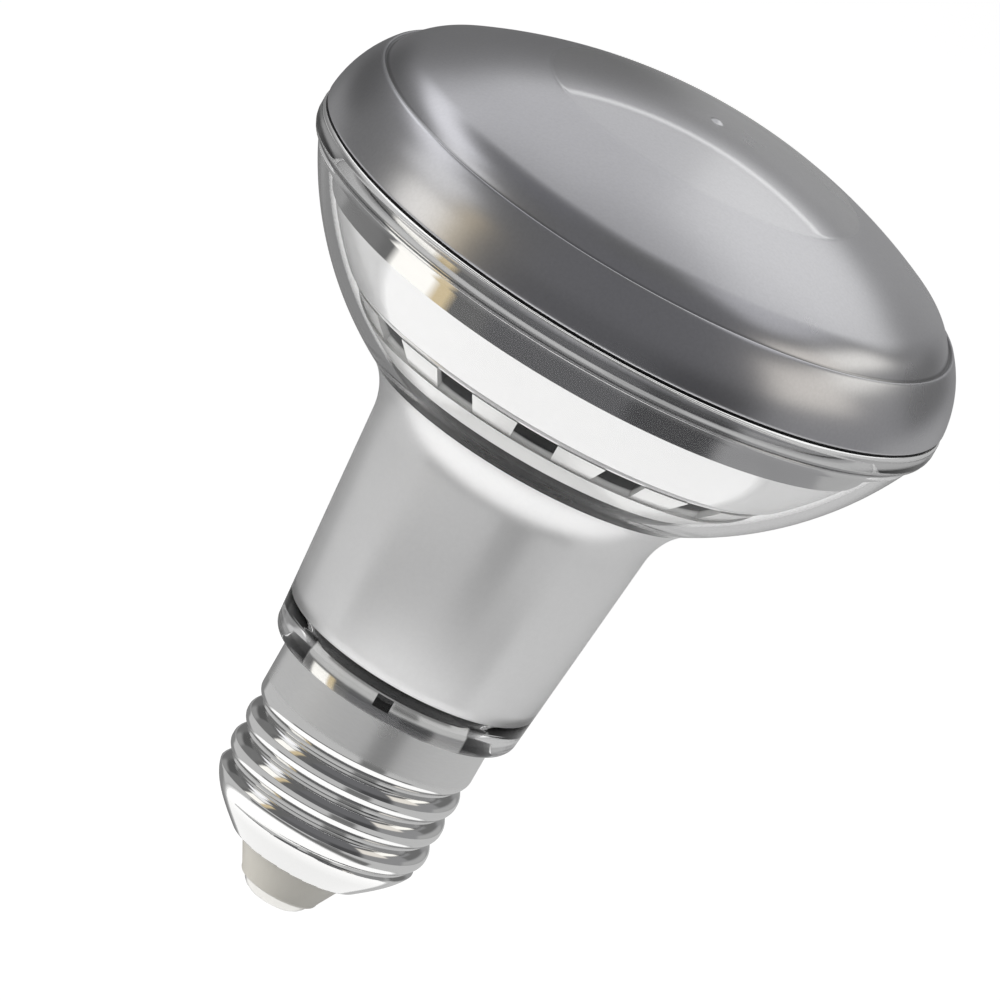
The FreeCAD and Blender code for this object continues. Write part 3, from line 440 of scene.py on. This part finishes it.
def new_material(name):
    material = bpy.data.materials.new(name)
    material.use_nodes = True
    return material, material.node_tree.nodes, material.node_tree.links


def shader_of(nodes):
    return next(node for node in nodes if node.type == "BSDF_PRINCIPLED")


def coordinates(nodes, links, scale=(1, 1, 1)):
    """Object space, so the detail stays on the piece, stretched by a scale."""
    source = nodes.new("ShaderNodeTexCoord")
    mapping = nodes.new("ShaderNodeMapping")
    mapping.inputs["Scale"].default_value = scale
    links.new(source.outputs["Object"], mapping.inputs["Vector"])
    return mapping.outputs["Vector"]


def noise(nodes, links, vector, scale, detail=4.0, rough=0.55):
    texture = nodes.new("ShaderNodeTexNoise")
    texture.inputs["Scale"].default_value = scale
    texture.inputs["Detail"].default_value = detail
    texture.inputs["Roughness"].default_value = rough
    links.new(vector, texture.inputs["Vector"])
    return texture.outputs["Fac"]


def spread(nodes, links, factor, low, high, start=0.3, end=0.7):
    """Run from low to high while the factor goes from start to end, and hold outside them."""
    ramp = nodes.new("ShaderNodeMapRange")
    ramp.inputs["From Min"].default_value = start
    ramp.inputs["From Max"].default_value = end
    ramp.inputs["To Min"].default_value = low
    ramp.inputs["To Max"].default_value = high
    links.new(factor, ramp.inputs["Value"])
    return ramp.outputs["Result"]


def blend_colour(nodes, links, factor, first, second):
    """Colour between two, each a tuple or a socket."""
    mix = nodes.new("ShaderNodeMix")
    mix.data_type = "RGBA"
    for socket, colour in (("A", first), ("B", second)):
        target = next(s for s in mix.inputs if s.name == socket and s.type == "RGBA")
        if isinstance(colour, tuple):
            target.default_value = (*colour, 1)
        else:
            links.new(colour, target)
    links.new(factor, mix.inputs["Factor"])
    return next(s for s in mix.outputs if s.type == "RGBA")


def add_bump(nodes, links, shader, height, strength, distance=GRAIN_DEPTH):
    """Let a texture raise and lower the surface a little."""
    bump = nodes.new("ShaderNodeBump")
    bump.inputs["Strength"].default_value = strength
    bump.inputs["Distance"].default_value = distance
    links.new(height, bump.inputs["Height"])
    links.new(bump.outputs["Normal"], shader.inputs["Normal"])


def metal(name, dark, light, rough, grain_scale, stretch=(1, 1, 1), bump=0.1, rough_spread=0.05):
    """Metal with a grain that varies its colour, roughness and height."""
    material, nodes, links = new_material(name)
    shader = shader_of(nodes)
    shader.inputs["Metallic"].default_value = 1
    vector = coordinates(nodes, links, stretch)
    fine = noise(nodes, links, vector, grain_scale)
    broad = noise(nodes, links, coordinates(nodes, links), 90, 3)
    links.new(blend_colour(nodes, links, fine, dark, light), shader.inputs["Base Color"])
    roughness = spread(nodes, links, broad, rough - rough_spread, rough + rough_spread)
    links.new(roughness, shader.inputs["Roughness"])
    add_bump(nodes, links, shader, fine, bump)
    return material


def plastic(name, dark, light, rough, grain_scale=900, bump=0.1, coat=0.0):
    """Moulded surface with broad changes of colour and a fine grain."""
    material, nodes, links = new_material(name)
    shader = shader_of(nodes)
    vector = coordinates(nodes, links)
    fine = noise(nodes, links, vector, grain_scale)
    broad = noise(nodes, links, vector, 120, 3)
    links.new(blend_colour(nodes, links, broad, dark, light), shader.inputs["Base Color"])
    links.new(spread(nodes, links, fine, rough - 0.04, rough + 0.04), shader.inputs["Roughness"])
    shader.inputs["Coat Weight"].default_value = coat
    add_bump(nodes, links, shader, fine, bump)
    return material


def position(nodes, links):
    """X, Y and Z of the surface in the lamp's own frame, in metres."""
    source = nodes.new("ShaderNodeTexCoord")
    split = nodes.new("ShaderNodeSeparateXYZ")
    links.new(source.outputs["Object"], split.inputs["Vector"])
    return split.outputs


def calculate(nodes, links, operation, *values):
    """One step of arithmetic on numbers and sockets."""
    step = nodes.new("ShaderNodeMath")
    step.operation = operation
    for socket, value in zip(step.inputs, values):
        if isinstance(value, (int, float)):
            socket.default_value = value
        else:
            links.new(value, socket)
    return step.outputs["Value"]


def radius_of(nodes, links):
    """Distance from the lamp's axis, in metres."""
    place = position(nodes, links)
    flat = nodes.new("ShaderNodeCombineXYZ")
    links.new(place["X"], flat.inputs["X"])
    links.new(place["Y"], flat.inputs["Y"])
    length = nodes.new("ShaderNodeVectorMath")
    length.operation = "LENGTH"
    links.new(flat.outputs["Vector"], length.inputs[0])
    return length.outputs["Value"]


def height_of(nodes, links):
    """Height above the lamp's tip, in metres."""
    return position(nodes, links)["Z"]


def number_mix(nodes, links, factor, first, second):
    """Number between two, each a float or a socket."""
    mix = nodes.new("ShaderNodeMix")
    links.new(factor, mix.inputs["Factor"])
    for socket, source in (("A", first), ("B", second)):
        if isinstance(source, float):
            mix.inputs[socket].default_value = source
        else:
            links.new(source, mix.inputs[socket])
    return mix.outputs["Result"]


def cap_material():
    """Plated cap: polished on the thread and the shoulder, satin on the skirt above them."""
    material, nodes, links = new_material("cap_plate")
    shader = shader_of(nodes)
    shader.inputs["Metallic"].default_value = 1
    grain = noise(nodes, links, coordinates(nodes, links, (1, 1, 5)), 900)
    broad = noise(nodes, links, coordinates(nodes, links), 90, 3)
    skirt = spread(nodes, links, height_of(nodes, links), 0, 1, *SATIN_SKIRT)
    plate = blend_colour(nodes, links, grain, (0.86, 0.86, 0.855), (0.94, 0.94, 0.935))
    cone = spread(nodes, links, height_of(nodes, links), 1, 0, *CONE_TONE)
    links.new(blend_colour(nodes, links, cone, plate, (0.76, 0.76, 0.755)), shader.inputs["Base Color"])
    polished = spread(nodes, links, broad, 0.06, 0.09)
    satin = spread(nodes, links, broad, 0.27, 0.29)
    links.new(number_mix(nodes, links, skirt, polished, satin), shader.inputs["Roughness"])
    add_bump(nodes, links, shader, grain, 0.05)
    return material


def sleeve_material():
    """Satin silver sleeve, with the black moulding of its foot below it."""
    material, nodes, links = new_material("housing_silver")
    shader = shader_of(nodes)
    fine = noise(nodes, links, coordinates(nodes, links), 2200, 3)
    sleeve = spread(nodes, links, height_of(nodes, links), 0, 1, *SLEEVE_FOOT)
    pale = blend_colour(nodes, links, fine, (0.89, 0.89, 0.89), (0.95, 0.95, 0.95))
    links.new(blend_colour(nodes, links, sleeve, (0.012, 0.012, 0.013), pale), shader.inputs["Base Color"])
    links.new(number_mix(nodes, links, sleeve, 0.0, 0.8), shader.inputs["Metallic"])
    links.new(number_mix(nodes, links, sleeve, 0.5, 0.28), shader.inputs["Roughness"])
    shader.inputs["Specular IOR Level"].default_value = DULL
    return material


def collar_material():
    """Polished in front and behind, and painted black on both sides: painted shade where the glass lip shows
    dark over it.
    """
    material, nodes, links = new_material("collar_polish")
    shader = shader_of(nodes)
    fine = noise(nodes, links, coordinates(nodes, links, (1, 1, 10)), 600)
    # Painted shade: black base colour and no metal beyond a distance from the middle, on both sides.
    off = calculate(nodes, links, "ABSOLUTE", position(nodes, links)["X"])
    unshaded_part = spread(nodes, links, off, 1, 0, *COLLAR_SHADE_EDGE)
    pale = blend_colour(nodes, links, fine, (0.86, 0.86, 0.85), (0.94, 0.94, 0.93))
    links.new(blend_colour(nodes, links, unshaded_part, SHADOW_BLACK, pale), shader.inputs["Base Color"])
    links.new(unshaded_part, shader.inputs["Metallic"])
    links.new(number_mix(nodes, links, unshaded_part, 0.35, 0.08), shader.inputs["Roughness"])
    shader.inputs["Specular IOR Level"].default_value = DULL
    return material


def sink_material():
    """Turned ring with a pale face, and painted shade where the slots and the hub lie back from it."""
    material, nodes, links = new_material("sink_turned")
    shader = shader_of(nodes)
    grain = noise(nodes, links, coordinates(nodes, links, (1, 1, 12)), 500)
    height, radius = height_of(nodes, links), radius_of(nodes, links)
    # Painted shade: black base colour where the surface lies back from the pale face.
    reach = calculate(nodes, links, "MULTIPLY_ADD", height, SINK_LEAN, radius)
    face = spread(nodes, links, reach, 0, 1, *SINK_FACE)
    pale = blend_colour(nodes, links, grain, (0.80, 0.80, 0.79), (0.92, 0.92, 0.91))
    links.new(blend_colour(nodes, links, face, SHADOW_BLACK, pale), shader.inputs["Base Color"])
    links.new(number_mix(nodes, links, face, 0.0, 0.36), shader.inputs["Metallic"])
    links.new(number_mix(nodes, links, face, 0.45, 0.14), shader.inputs["Roughness"])
    shader.inputs["Specular IOR Level"].default_value = DULL
    add_bump(nodes, links, shader, grain, 0.08)
    return material


def reflector_material():
    """Polished rim band over a bowl with a paler coat, which is less of a mirror."""
    material = metal("reflector_polish", (0.89, 0.89, 0.89), (0.93, 0.93, 0.93), 0.05, 300, (1, 1, 6), 0.01,
                     rough_spread=0.02)
    nodes, links = material.node_tree.nodes, material.node_tree.links
    band = spread(nodes, links, height_of(nodes, links), 0.4, 1, *MIRROR_EDGE)
    links.new(band, shader_of(nodes).inputs["Metallic"])
    return material


def lens_material():
    """Satin cover: fine grain all over, painted shade in the crease, and a clear coat on the disc at the
    crown.
    """
    material, nodes, links = new_material("lens_satin")
    shader = shader_of(nodes)
    shader.inputs["Metallic"].default_value = 1
    vector = coordinates(nodes, links)
    fine = noise(nodes, links, vector, 2600, 3)
    cloudy = noise(nodes, links, vector, 60, 3)
    satin = blend_colour(nodes, links, fine, (0.69, 0.69, 0.71), (0.81, 0.81, 0.835))
    radius = radius_of(nodes, links)
    # Painted shade: the base colour darkens to grey in a thin ring at the crease.
    past_inner = spread(nodes, links, radius, 0, 1, *CREASE_INNER)
    past_outer = spread(nodes, links, radius, 1, 0, *CREASE_OUTER)
    crease = calculate(nodes, links, "MULTIPLY", past_inner, past_outer)
    colour = blend_colour(nodes, links, crease, satin, (0.40, 0.40, 0.41))
    links.new(colour, shader.inputs["Base Color"])
    links.new(spread(nodes, links, cloudy, 0.27, 0.3), shader.inputs["Roughness"])
    crown = spread(nodes, links, radius, 1, 0, *CROWN_EDGE)
    links.new(crown, shader.inputs["Coat Weight"])
    shader.inputs["Coat Roughness"].default_value = 0.02
    shader.inputs["Coat IOR"].default_value = 1.8
    add_bump(nodes, links, shader, fine, 0.03)
    return material


def glass_material():
    """Clear blown glass with faint waves. It bends light in its thick lip and bead, hardly in its wall."""
    material, nodes, links = new_material("glass_clear")
    shader = shader_of(nodes)
    shader.inputs["Transmission Weight"].default_value = 1
    shader.inputs["Roughness"].default_value = 0
    height = height_of(nodes, links)
    lip = spread(nodes, links, height, 0.63, 0, *LIP_END)
    bead = spread(nodes, links, height, 0, 1, *BEAD_START)
    thick = calculate(nodes, links, "MAXIMUM", lip, bead)
    links.new(number_mix(nodes, links, thick, WALL_BENDING, GLASS_BENDING), shader.inputs["IOR"])
    waves = noise(nodes, links, coordinates(nodes, links, (1, 1, 0.35)), 55, 2)
    links.new(blend_colour(nodes, links, waves, (0.98, 0.98, 0.98), (1, 1, 1)), shader.inputs["Base Color"])
    return material


def board_material(name, mask, copper):
    """Solder mask over tracks that show as a slightly lighter pattern."""
    material, nodes, links = new_material(name)
    shader = shader_of(nodes)
    tracks = nodes.new("ShaderNodeTexBrick")
    tracks.inputs["Scale"].default_value = 260
    tracks.inputs["Mortar Size"].default_value = 0.03
    tracks.inputs["Color1"].default_value = (*mask, 1)
    tracks.inputs["Color2"].default_value = (*(0.9 * c for c in mask), 1)
    tracks.inputs["Mortar"].default_value = (*copper, 1)
    links.new(coordinates(nodes, links), tracks.inputs["Vector"])
    links.new(tracks.outputs["Color"], shader.inputs["Base Color"])
    shader.inputs["Roughness"].default_value = 0.35
    shader.inputs["Coat Weight"].default_value = 0.3
    add_bump(nodes, links, shader, tracks.outputs["Fac"], 0.2, 0.00003)
    return material


# The visible pieces, each in the place of the node it stands for.
stands_for(lathe("lens_cover", lens_profile()), "front_lens", lens_material())
stands_for(lathe("glass_envelope", glass_profile()), "glass_bulb", glass_material())
stands_for(lathe("housing_sleeve", housing_profile()), "driver_housing", sleeve_material())
reflector = lathe("reflector_shell", reflector_profile())
stands_for(reflector, "reflector_cup", reflector_material())
sink = lathe("sink_ring", sink_profile(), 192)
slot_count, slot_floor, half_slot, past_rim = 16, 25.6, 2.6, 50
slot_low, slot_high = (slot_floor, -half_slot, CASTLE_FOOT), (past_rim, half_slot, SINK_TOP + 1)
slots = [(slot_low, slot_high, 2 * math.pi * i / slot_count) for i in range(slot_count)]
cut(sink, box_mesh("slot_cutter", slots))
stands_for(sink, "heat_sink", sink_material())

rubber = plastic("seal_rubber", (0.006, 0.006, 0.007), (0.014, 0.014, 0.015), 0.5, 1500, 0.2)
shader_of(rubber.node_tree.nodes).inputs["Specular IOR Level"].default_value = DULL
seal_profile = [(COLLAR_BORE, COLLAR_TOP), (SKIRT - 0.1, COLLAR_TOP), (SKIRT, COLLAR_TOP + 0.1),
                (SKIRT, HOUSING_BASE - 0.1), (SKIRT - 0.1, HOUSING_BASE), (COLLAR_BORE, HOUSING_BASE)]
stands_for(lathe("neck_band", seal_profile), "neck_seal", rubber)
seam_edge = 39.62
seam_profile = [(RIM_BORE, RIM_TOP), (39.3, RIM_TOP), (seam_edge, RIM_TOP),
                (seam_edge, LENS_FOOT), (RIM_BORE, LENS_FOOT)]
stands_for(lathe("seam_band", seam_profile), "seam_seal", rubber)

collar_foot = SKIRT_TOP - 3.6
collar_profile = [(COLLAR_BORE, collar_foot), (SKIRT - 0.45, collar_foot), (SKIRT - 0.45, SKIRT_TOP),
                  (SKIRT - 0.08, SKIRT_TOP), (SKIRT, SKIRT_TOP + 0.08), (SKIRT, COLLAR_TOP - 0.08),
                  (SKIRT - 0.08, COLLAR_TOP), (COLLAR_BORE, COLLAR_TOP)]
collar = lathe("collar_band", collar_profile)
in_front, behind_wall = -20, -5
window = ((-1.0, in_front, COLLAR_TOP - 1.75), (1.0, behind_wall, COLLAR_TOP - 0.25), 0)
slot = ((-1.5, in_front, SKIRT_TOP), (1.5, behind_wall, SKIRT_TOP + 0.6), 0)
cut(collar, box_mesh("window_cutter", [window, slot]))
stands_for(collar, "collar_ring", collar_material())

stands_for(screw_shell(), "screw_shell", cap_material())

insulator_profile = [(1.7, 1.6), (4.3, 1.6)] + arc((4.3, 2.2), 0.6, -80, -10, 6)
insulator_profile += [(4.9, 2.2), (6.9, CAP_OPENING - 0.1), (7.0, CAP_OPENING + 0.1)]
insulator_profile += [(7.0, CAP_OPENING + 0.3), (7.9, CAP_OPENING + 0.3), (9.8, CAP_OPENING + 2.6)]
insulator_profile += [(9.8, CAP_OPENING + 3.9), (1.7, CAP_OPENING + 3.9)]
ivory = plastic("insulator_ivory", (0.62, 0.60, 0.545), (0.69, 0.67, 0.615), 0.4, 700, 0.08, coat=0.1)
stands_for(lathe("insulator_cone", insulator_profile), "cap_insulator", ivory)
contact_profile = [(0, 0), (1.2, 0), (2.2, 0.04), (2.9, 0.22), (3.5, 0.58), (3.92, 1.02), (4.2, 1.6)]
contact_profile += [(1.4, 1.6), (1.4, 7.2), (0, 7.2)]
nickel = metal("contact_nickel", (0.74, 0.73, 0.70), (0.83, 0.82, 0.79), 0.3, 1200, bump=0.12)
stands_for(lathe("contact_button", contact_profile), "centre_contact", nickel)

# The pieces inside keep their construction meshes and take a material each.
INNER = {
    "thermal_pad": plastic("pad_grey", (0.30, 0.32, 0.35), (0.40, 0.42, 0.45), 0.7),
    "led_board": board_material("light_board", (0.85, 0.85, 0.82), (0.70, 0.62, 0.42)),
    "led_packages": plastic("phosphor", (0.80, 0.62, 0.12), (0.92, 0.74, 0.20), 0.3, coat=0.5),
    "board_screws": metal("screw_zinc", (0.52, 0.52, 0.51), (0.66, 0.66, 0.65), 0.3, 1500),
    "driver_board": board_material("driver_mask", (0.03, 0.16, 0.06), (0.06, 0.26, 0.10)),
    "input_capacitor": plastic("sleeve_black", (0.015, 0.015, 0.02), (0.03, 0.03, 0.04), 0.25, coat=0.4),
    "output_capacitor": plastic("sleeve_dark", (0.02, 0.02, 0.03), (0.04, 0.04, 0.06), 0.25, coat=0.4),
    "film_capacitor": plastic("film_red", (0.34, 0.05, 0.03), (0.44, 0.08, 0.05), 0.2, coat=0.6),
    "inductor": plastic("ferrite_grey", (0.03, 0.03, 0.03), (0.07, 0.065, 0.06), 0.6),
    "surge_varistor": plastic("varistor_blue", (0.02, 0.07, 0.24), (0.04, 0.11, 0.32), 0.3, coat=0.4),
    "fusible_resistor": plastic("resistor_tan", (0.50, 0.42, 0.28), (0.60, 0.52, 0.36), 0.5),
    "bridge_rectifier": plastic("package_black", (0.01, 0.01, 0.01), (0.025, 0.025, 0.025), 0.45),
    "driver_chip": plastic("chip_black", (0.012, 0.012, 0.012), (0.03, 0.03, 0.03), 0.4),
    "centre_lead": metal("lead_copper", (0.62, 0.34, 0.18), (0.78, 0.46, 0.26), 0.25, 2000),
    "shell_lead": metal("lead_bronze", (0.60, 0.36, 0.20), (0.74, 0.46, 0.28), 0.25, 2000),
    "output_leads": metal("lead_tinned", (0.62, 0.60, 0.56), (0.76, 0.74, 0.70), 0.25, 2000),
}
for node, material in INNER.items():
    slots_of_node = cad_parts[node].data.materials
    for index in range(len(slots_of_node)):
        slots_of_node[index] = material


# Camera at the photograph's angle: from the front and a little above, leaning to one side.
RISE = math.radians(15.5)
LEAN = math.radians(29.9)
AWAY = 3.0
HALF_VIEW = 0.0568
AIM = Vector((0, 0, 0.0545))
back = Vector((0, -math.cos(RISE), math.sin(RISE)))
right = Vector((1, 0, 0))
up = Vector((0, math.sin(RISE), math.cos(RISE)))
across = math.cos(LEAN) * right + math.sin(LEAN) * up
upward = -math.sin(LEAN) * right + math.cos(LEAN) * up
lens_data = bpy.data.cameras.new("camera")
lens_data.sensor_width = 36
lens_data.lens = lens_data.sensor_width / 2 / (HALF_VIEW / AWAY)
lens_data.clip_start = 0.1
lens_data.clip_end = 50
camera = bpy.data.objects.new("camera", lens_data)
bpy.context.scene.collection.objects.link(camera)
turned_to = Matrix((across, upward, back)).transposed()
camera.matrix_world = Matrix.Translation(AIM + AWAY * back) @ turned_to.to_4x4()
bpy.context.scene.camera = camera


def direction(azimuth, elevation):
    """Unit vector. Azimuth is measured from the front, positive towards +X."""
    a, e = math.radians(azimuth), math.radians(elevation)
    return Vector((math.sin(a) * math.cos(e), -math.cos(a) * math.cos(e), math.sin(e)))


def soft_box(name, azimuth, elevation, distance, width, height, power, colour):
    """Area lamp that faces the middle of the lamp and shows in no reflection."""
    data = bpy.data.lights.new(name, "AREA")
    data.shape = "RECTANGLE"
    data.size = width
    data.size_y = height
    data.energy = power
    data.color = colour
    lamp = bpy.data.objects.new(name, data)
    bpy.context.scene.collection.objects.link(lamp)
    towards = direction(azimuth, elevation)
    turned = towards.to_track_quat("Z", "Y").to_matrix().to_4x4()
    lamp.matrix_world = Matrix.Translation(AIM + distance * towards) @ turned
    lamp.visible_glossy = False
    lamp.visible_transmission = False


# Lamps: name, azimuth, elevation, distance, width, height, power and colour.
soft_box("key", -68, 12, 1.2, 0.8, 0.8, 7.5, (1.0, 0.98, 0.95))
soft_box("fill", 70, 20, 1.2, 1.0, 1.0, 0.7, (0.96, 0.98, 1.0))
soft_box("top", 180, 75, 1.2, 1.0, 1.0, 1.6, (1.0, 1.0, 1.0))


# The studio around the lamp, as its metal shows it: soft boxes and dark gaps between them.
# Each row is azimuth from and to, elevation from and to, softness of the edges, all in degrees, then colour.
STUDIO = [
    ((-180, 180), (-90, -42), 3, (0.97, 0.97, 0.97)),
    ((-180, 180), (-42, -13), 5, (0.53, 0.53, 0.53)),
    ((-74, 74), (-41, -31), 4, (0.16, 0.16, 0.16)),
    ((-176, -140), (-40, -15), 8, (0.24, 0.24, 0.24)),
    ((9, 37), (-31, -18), 8, (0.18, 0.18, 0.18)),
    ((120, 240), (66, 90), 10, (0.46, 0.46, 0.47)),
    ((-180, -128), (38, 72), 8, (0.58, 0.58, 0.59)),
    ((130, 180), (38, 72), 8, (0.82, 0.82, 0.82)),
    ((-34, 58), (-13, 22), 8, (0.115, 0.115, 0.12)),
    ((22, 54), (-13, 16), 8, (0.07, 0.07, 0.073)),
    ((-34, 58), (22, 66), 8, (0.15, 0.15, 0.157)),
    ((-158, -88), (-13, 28), 8, (0.18, 0.18, 0.18)),
    ((-146, -120), (-13, 3), 8, (0.30, 0.30, 0.30)),
    ((-156, -120), (6, 24), 6, (0.10, 0.10, 0.10)),
    ((58, 158), (-13, 30), 8, (0.28, 0.28, 0.285)),
    ((108, 152), (-13, 4), 8, (0.40, 0.40, 0.40)),
    ((118, 150), (8, 25), 6, (0.16, 0.16, 0.16)),
    ((156, 184), (-13, 30), 8, (0.34, 0.34, 0.34)),
    ((184, 208), (-13, 26), 8, (0.16, 0.16, 0.16)),
    ((150, 208), (38.8, 39.6), 0.8, (2.00, 2.00, 2.00)),
    ((-59, -50), (-9, 34), 4, (0.66, 0.54, 0.34)),
    ((-80, -58), (-9, 22), 4, (1.12, 1.10, 1.05)),
    ((-112, -40), (58, 80), 8, (0.15, 0.15, 0.16)),
    ((62, 128), (54, 78), 8, (0.54, 0.54, 0.56)),
    ((-90, -62), (24, 42), 6, (0.90, 0.90, 0.90)),
    ((58, 92), (20, 44), 6, (0.84, 0.80, 0.74)),
    ((-136, -80), (35, 50), 4, (1.05, 1.05, 1.08)),
    ((90, 122), (32, 46), 4, (1.12, 1.10, 1.04)),
]
STUDIO_FOOT = -44
STUDIO_REACH = 0.27
WORLD_LIGHT = 0.4
FLOOR_GLOW = 0.59


def edge_share(angle, low, high, soft):
    """1 between the two edges, 0 outside them, with a soft step at each."""
    centre, half = (low + high) / 2, (high - low) / 2
    off = abs((angle - centre + 180) % 360 - 180)
    share = min(1, max(0, (half + soft / 2 - off) / soft))
    return share * share * (3 - 2 * share)


def studio_colour(azimuth, elevation):
    """Tone of the studio in one direction: each row covers the ones before it."""
    colour = Vector((0.14, 0.14, 0.14))
    for azimuths, elevations, soft, tone in STUDIO:
        share = edge_share(azimuth, *azimuths, soft) * edge_share(elevation, *elevations, soft)
        colour = colour.lerp(Vector(tone), share)
    return colour


def add_surround():
    """Dome around the lamp that only reflections show. It lights nothing else and shades nothing."""
    columns, rows = 180, 90
    zenith = 90
    above_floor = 0.2
    vertices = []
    tones = []
    for j in range(rows + 1):
        elevation = STUDIO_FOOT + (zenith - STUDIO_FOOT) * j / rows
        drop = math.sin(math.radians(-elevation))
        reach = min(STUDIO_REACH, above_floor / drop) if drop > 0 else STUDIO_REACH
        for i in range(columns + 1):
            azimuth = -180 + 360 * i / columns
            vertices.append(AIM + reach * direction(azimuth, elevation))
            tones.append(studio_colour(azimuth, elevation))
    faces = []
    for j in range(rows):
        for i in range(columns):
            a = j * (columns + 1) + i
            faces.append((a, a + 1, a + columns + 2, a + columns + 1))
    mesh = bpy.data.meshes.new("surround")
    mesh.from_pydata(vertices, [], faces)
    layer = mesh.color_attributes.new("tone", "FLOAT_COLOR", "POINT")
    for point, tone in zip(layer.data, tones):
        point.color = (*tone, 1)
    surround = bpy.data.objects.new("surround", mesh)
    bpy.context.scene.collection.objects.link(surround)
    material, nodes, links = new_material("surround")
    shader = shader_of(nodes)
    shader.inputs["Base Color"].default_value = (0, 0, 0, 1)
    shader.inputs["Specular IOR Level"].default_value = 0
    shader.inputs["Emission Strength"].default_value = 1
    tone = nodes.new("ShaderNodeAttribute")
    tone.attribute_name = "tone"
    links.new(tone.outputs["Color"], shader.inputs["Emission Color"])
    path = nodes.new("ShaderNodeLightPath")
    links.new(spread(nodes, links, path.outputs["Glossy Depth"], 0, 1, 0, 1), shader.inputs["Alpha"])
    mesh.materials.append(material)
    surround.visible_camera = False
    surround.visible_diffuse = False
    surround.visible_shadow = False


add_surround()


def seen_white(nodes, links):
    """1 for rays from the camera, off gloss and through glass."""
    path = nodes.new("ShaderNodeLightPath")
    total = path.outputs["Is Camera Ray"]
    for kind in ("Is Glossy Ray", "Is Transmission Ray"):
        total = calculate(nodes, links, "MAXIMUM", total, path.outputs[kind])
    return total


def set_world():
    """Even soft light on the lamp, and white where the world itself is seen."""
    world = bpy.data.worlds.new("studio")
    world.use_nodes = True
    nodes, links = world.node_tree.nodes, world.node_tree.links
    background = next(node for node in nodes if node.type == "BACKGROUND")
    background.inputs["Color"].default_value = (1, 1, 1, 1)
    light = spread(nodes, links, seen_white(nodes, links), WORLD_LIGHT, 1, 0, 1)
    links.new(light, background.inputs["Strength"])
    bpy.context.scene.world = world


def add_floor():
    """Pale floor below the lamp, white to the camera and still shaded where the lamp keeps light off it."""
    mesh = bpy.data.meshes.new("floor")
    side, level = 6.0, -0.16
    corners = [(-side, -side, level), (side, -side, level), (side, side, level), (-side, side, level)]
    mesh.from_pydata(corners, [], [(0, 1, 2, 3)])
    floor = bpy.data.objects.new("floor", mesh)
    bpy.context.scene.collection.objects.link(floor)
    material, nodes, links = new_material("floor_pale")
    shader = shader_of(nodes)
    shader.inputs["Base Color"].default_value = (0.86, 0.86, 0.86, 1)
    shader.inputs["Roughness"].default_value = 0.9
    shader.inputs["Specular IOR Level"].default_value = 0
    shader.inputs["Emission Color"].default_value = (1, 1, 1, 1)
    glow = spread(nodes, links, seen_white(nodes, links), 0, FLOOR_GLOW, 0, 1)
    links.new(glow, shader.inputs["Emission Strength"])
    mesh.materials.append(material)


set_world()
add_floor()
scene = bpy.context.scene
scene.view_settings.view_transform = "Standard"
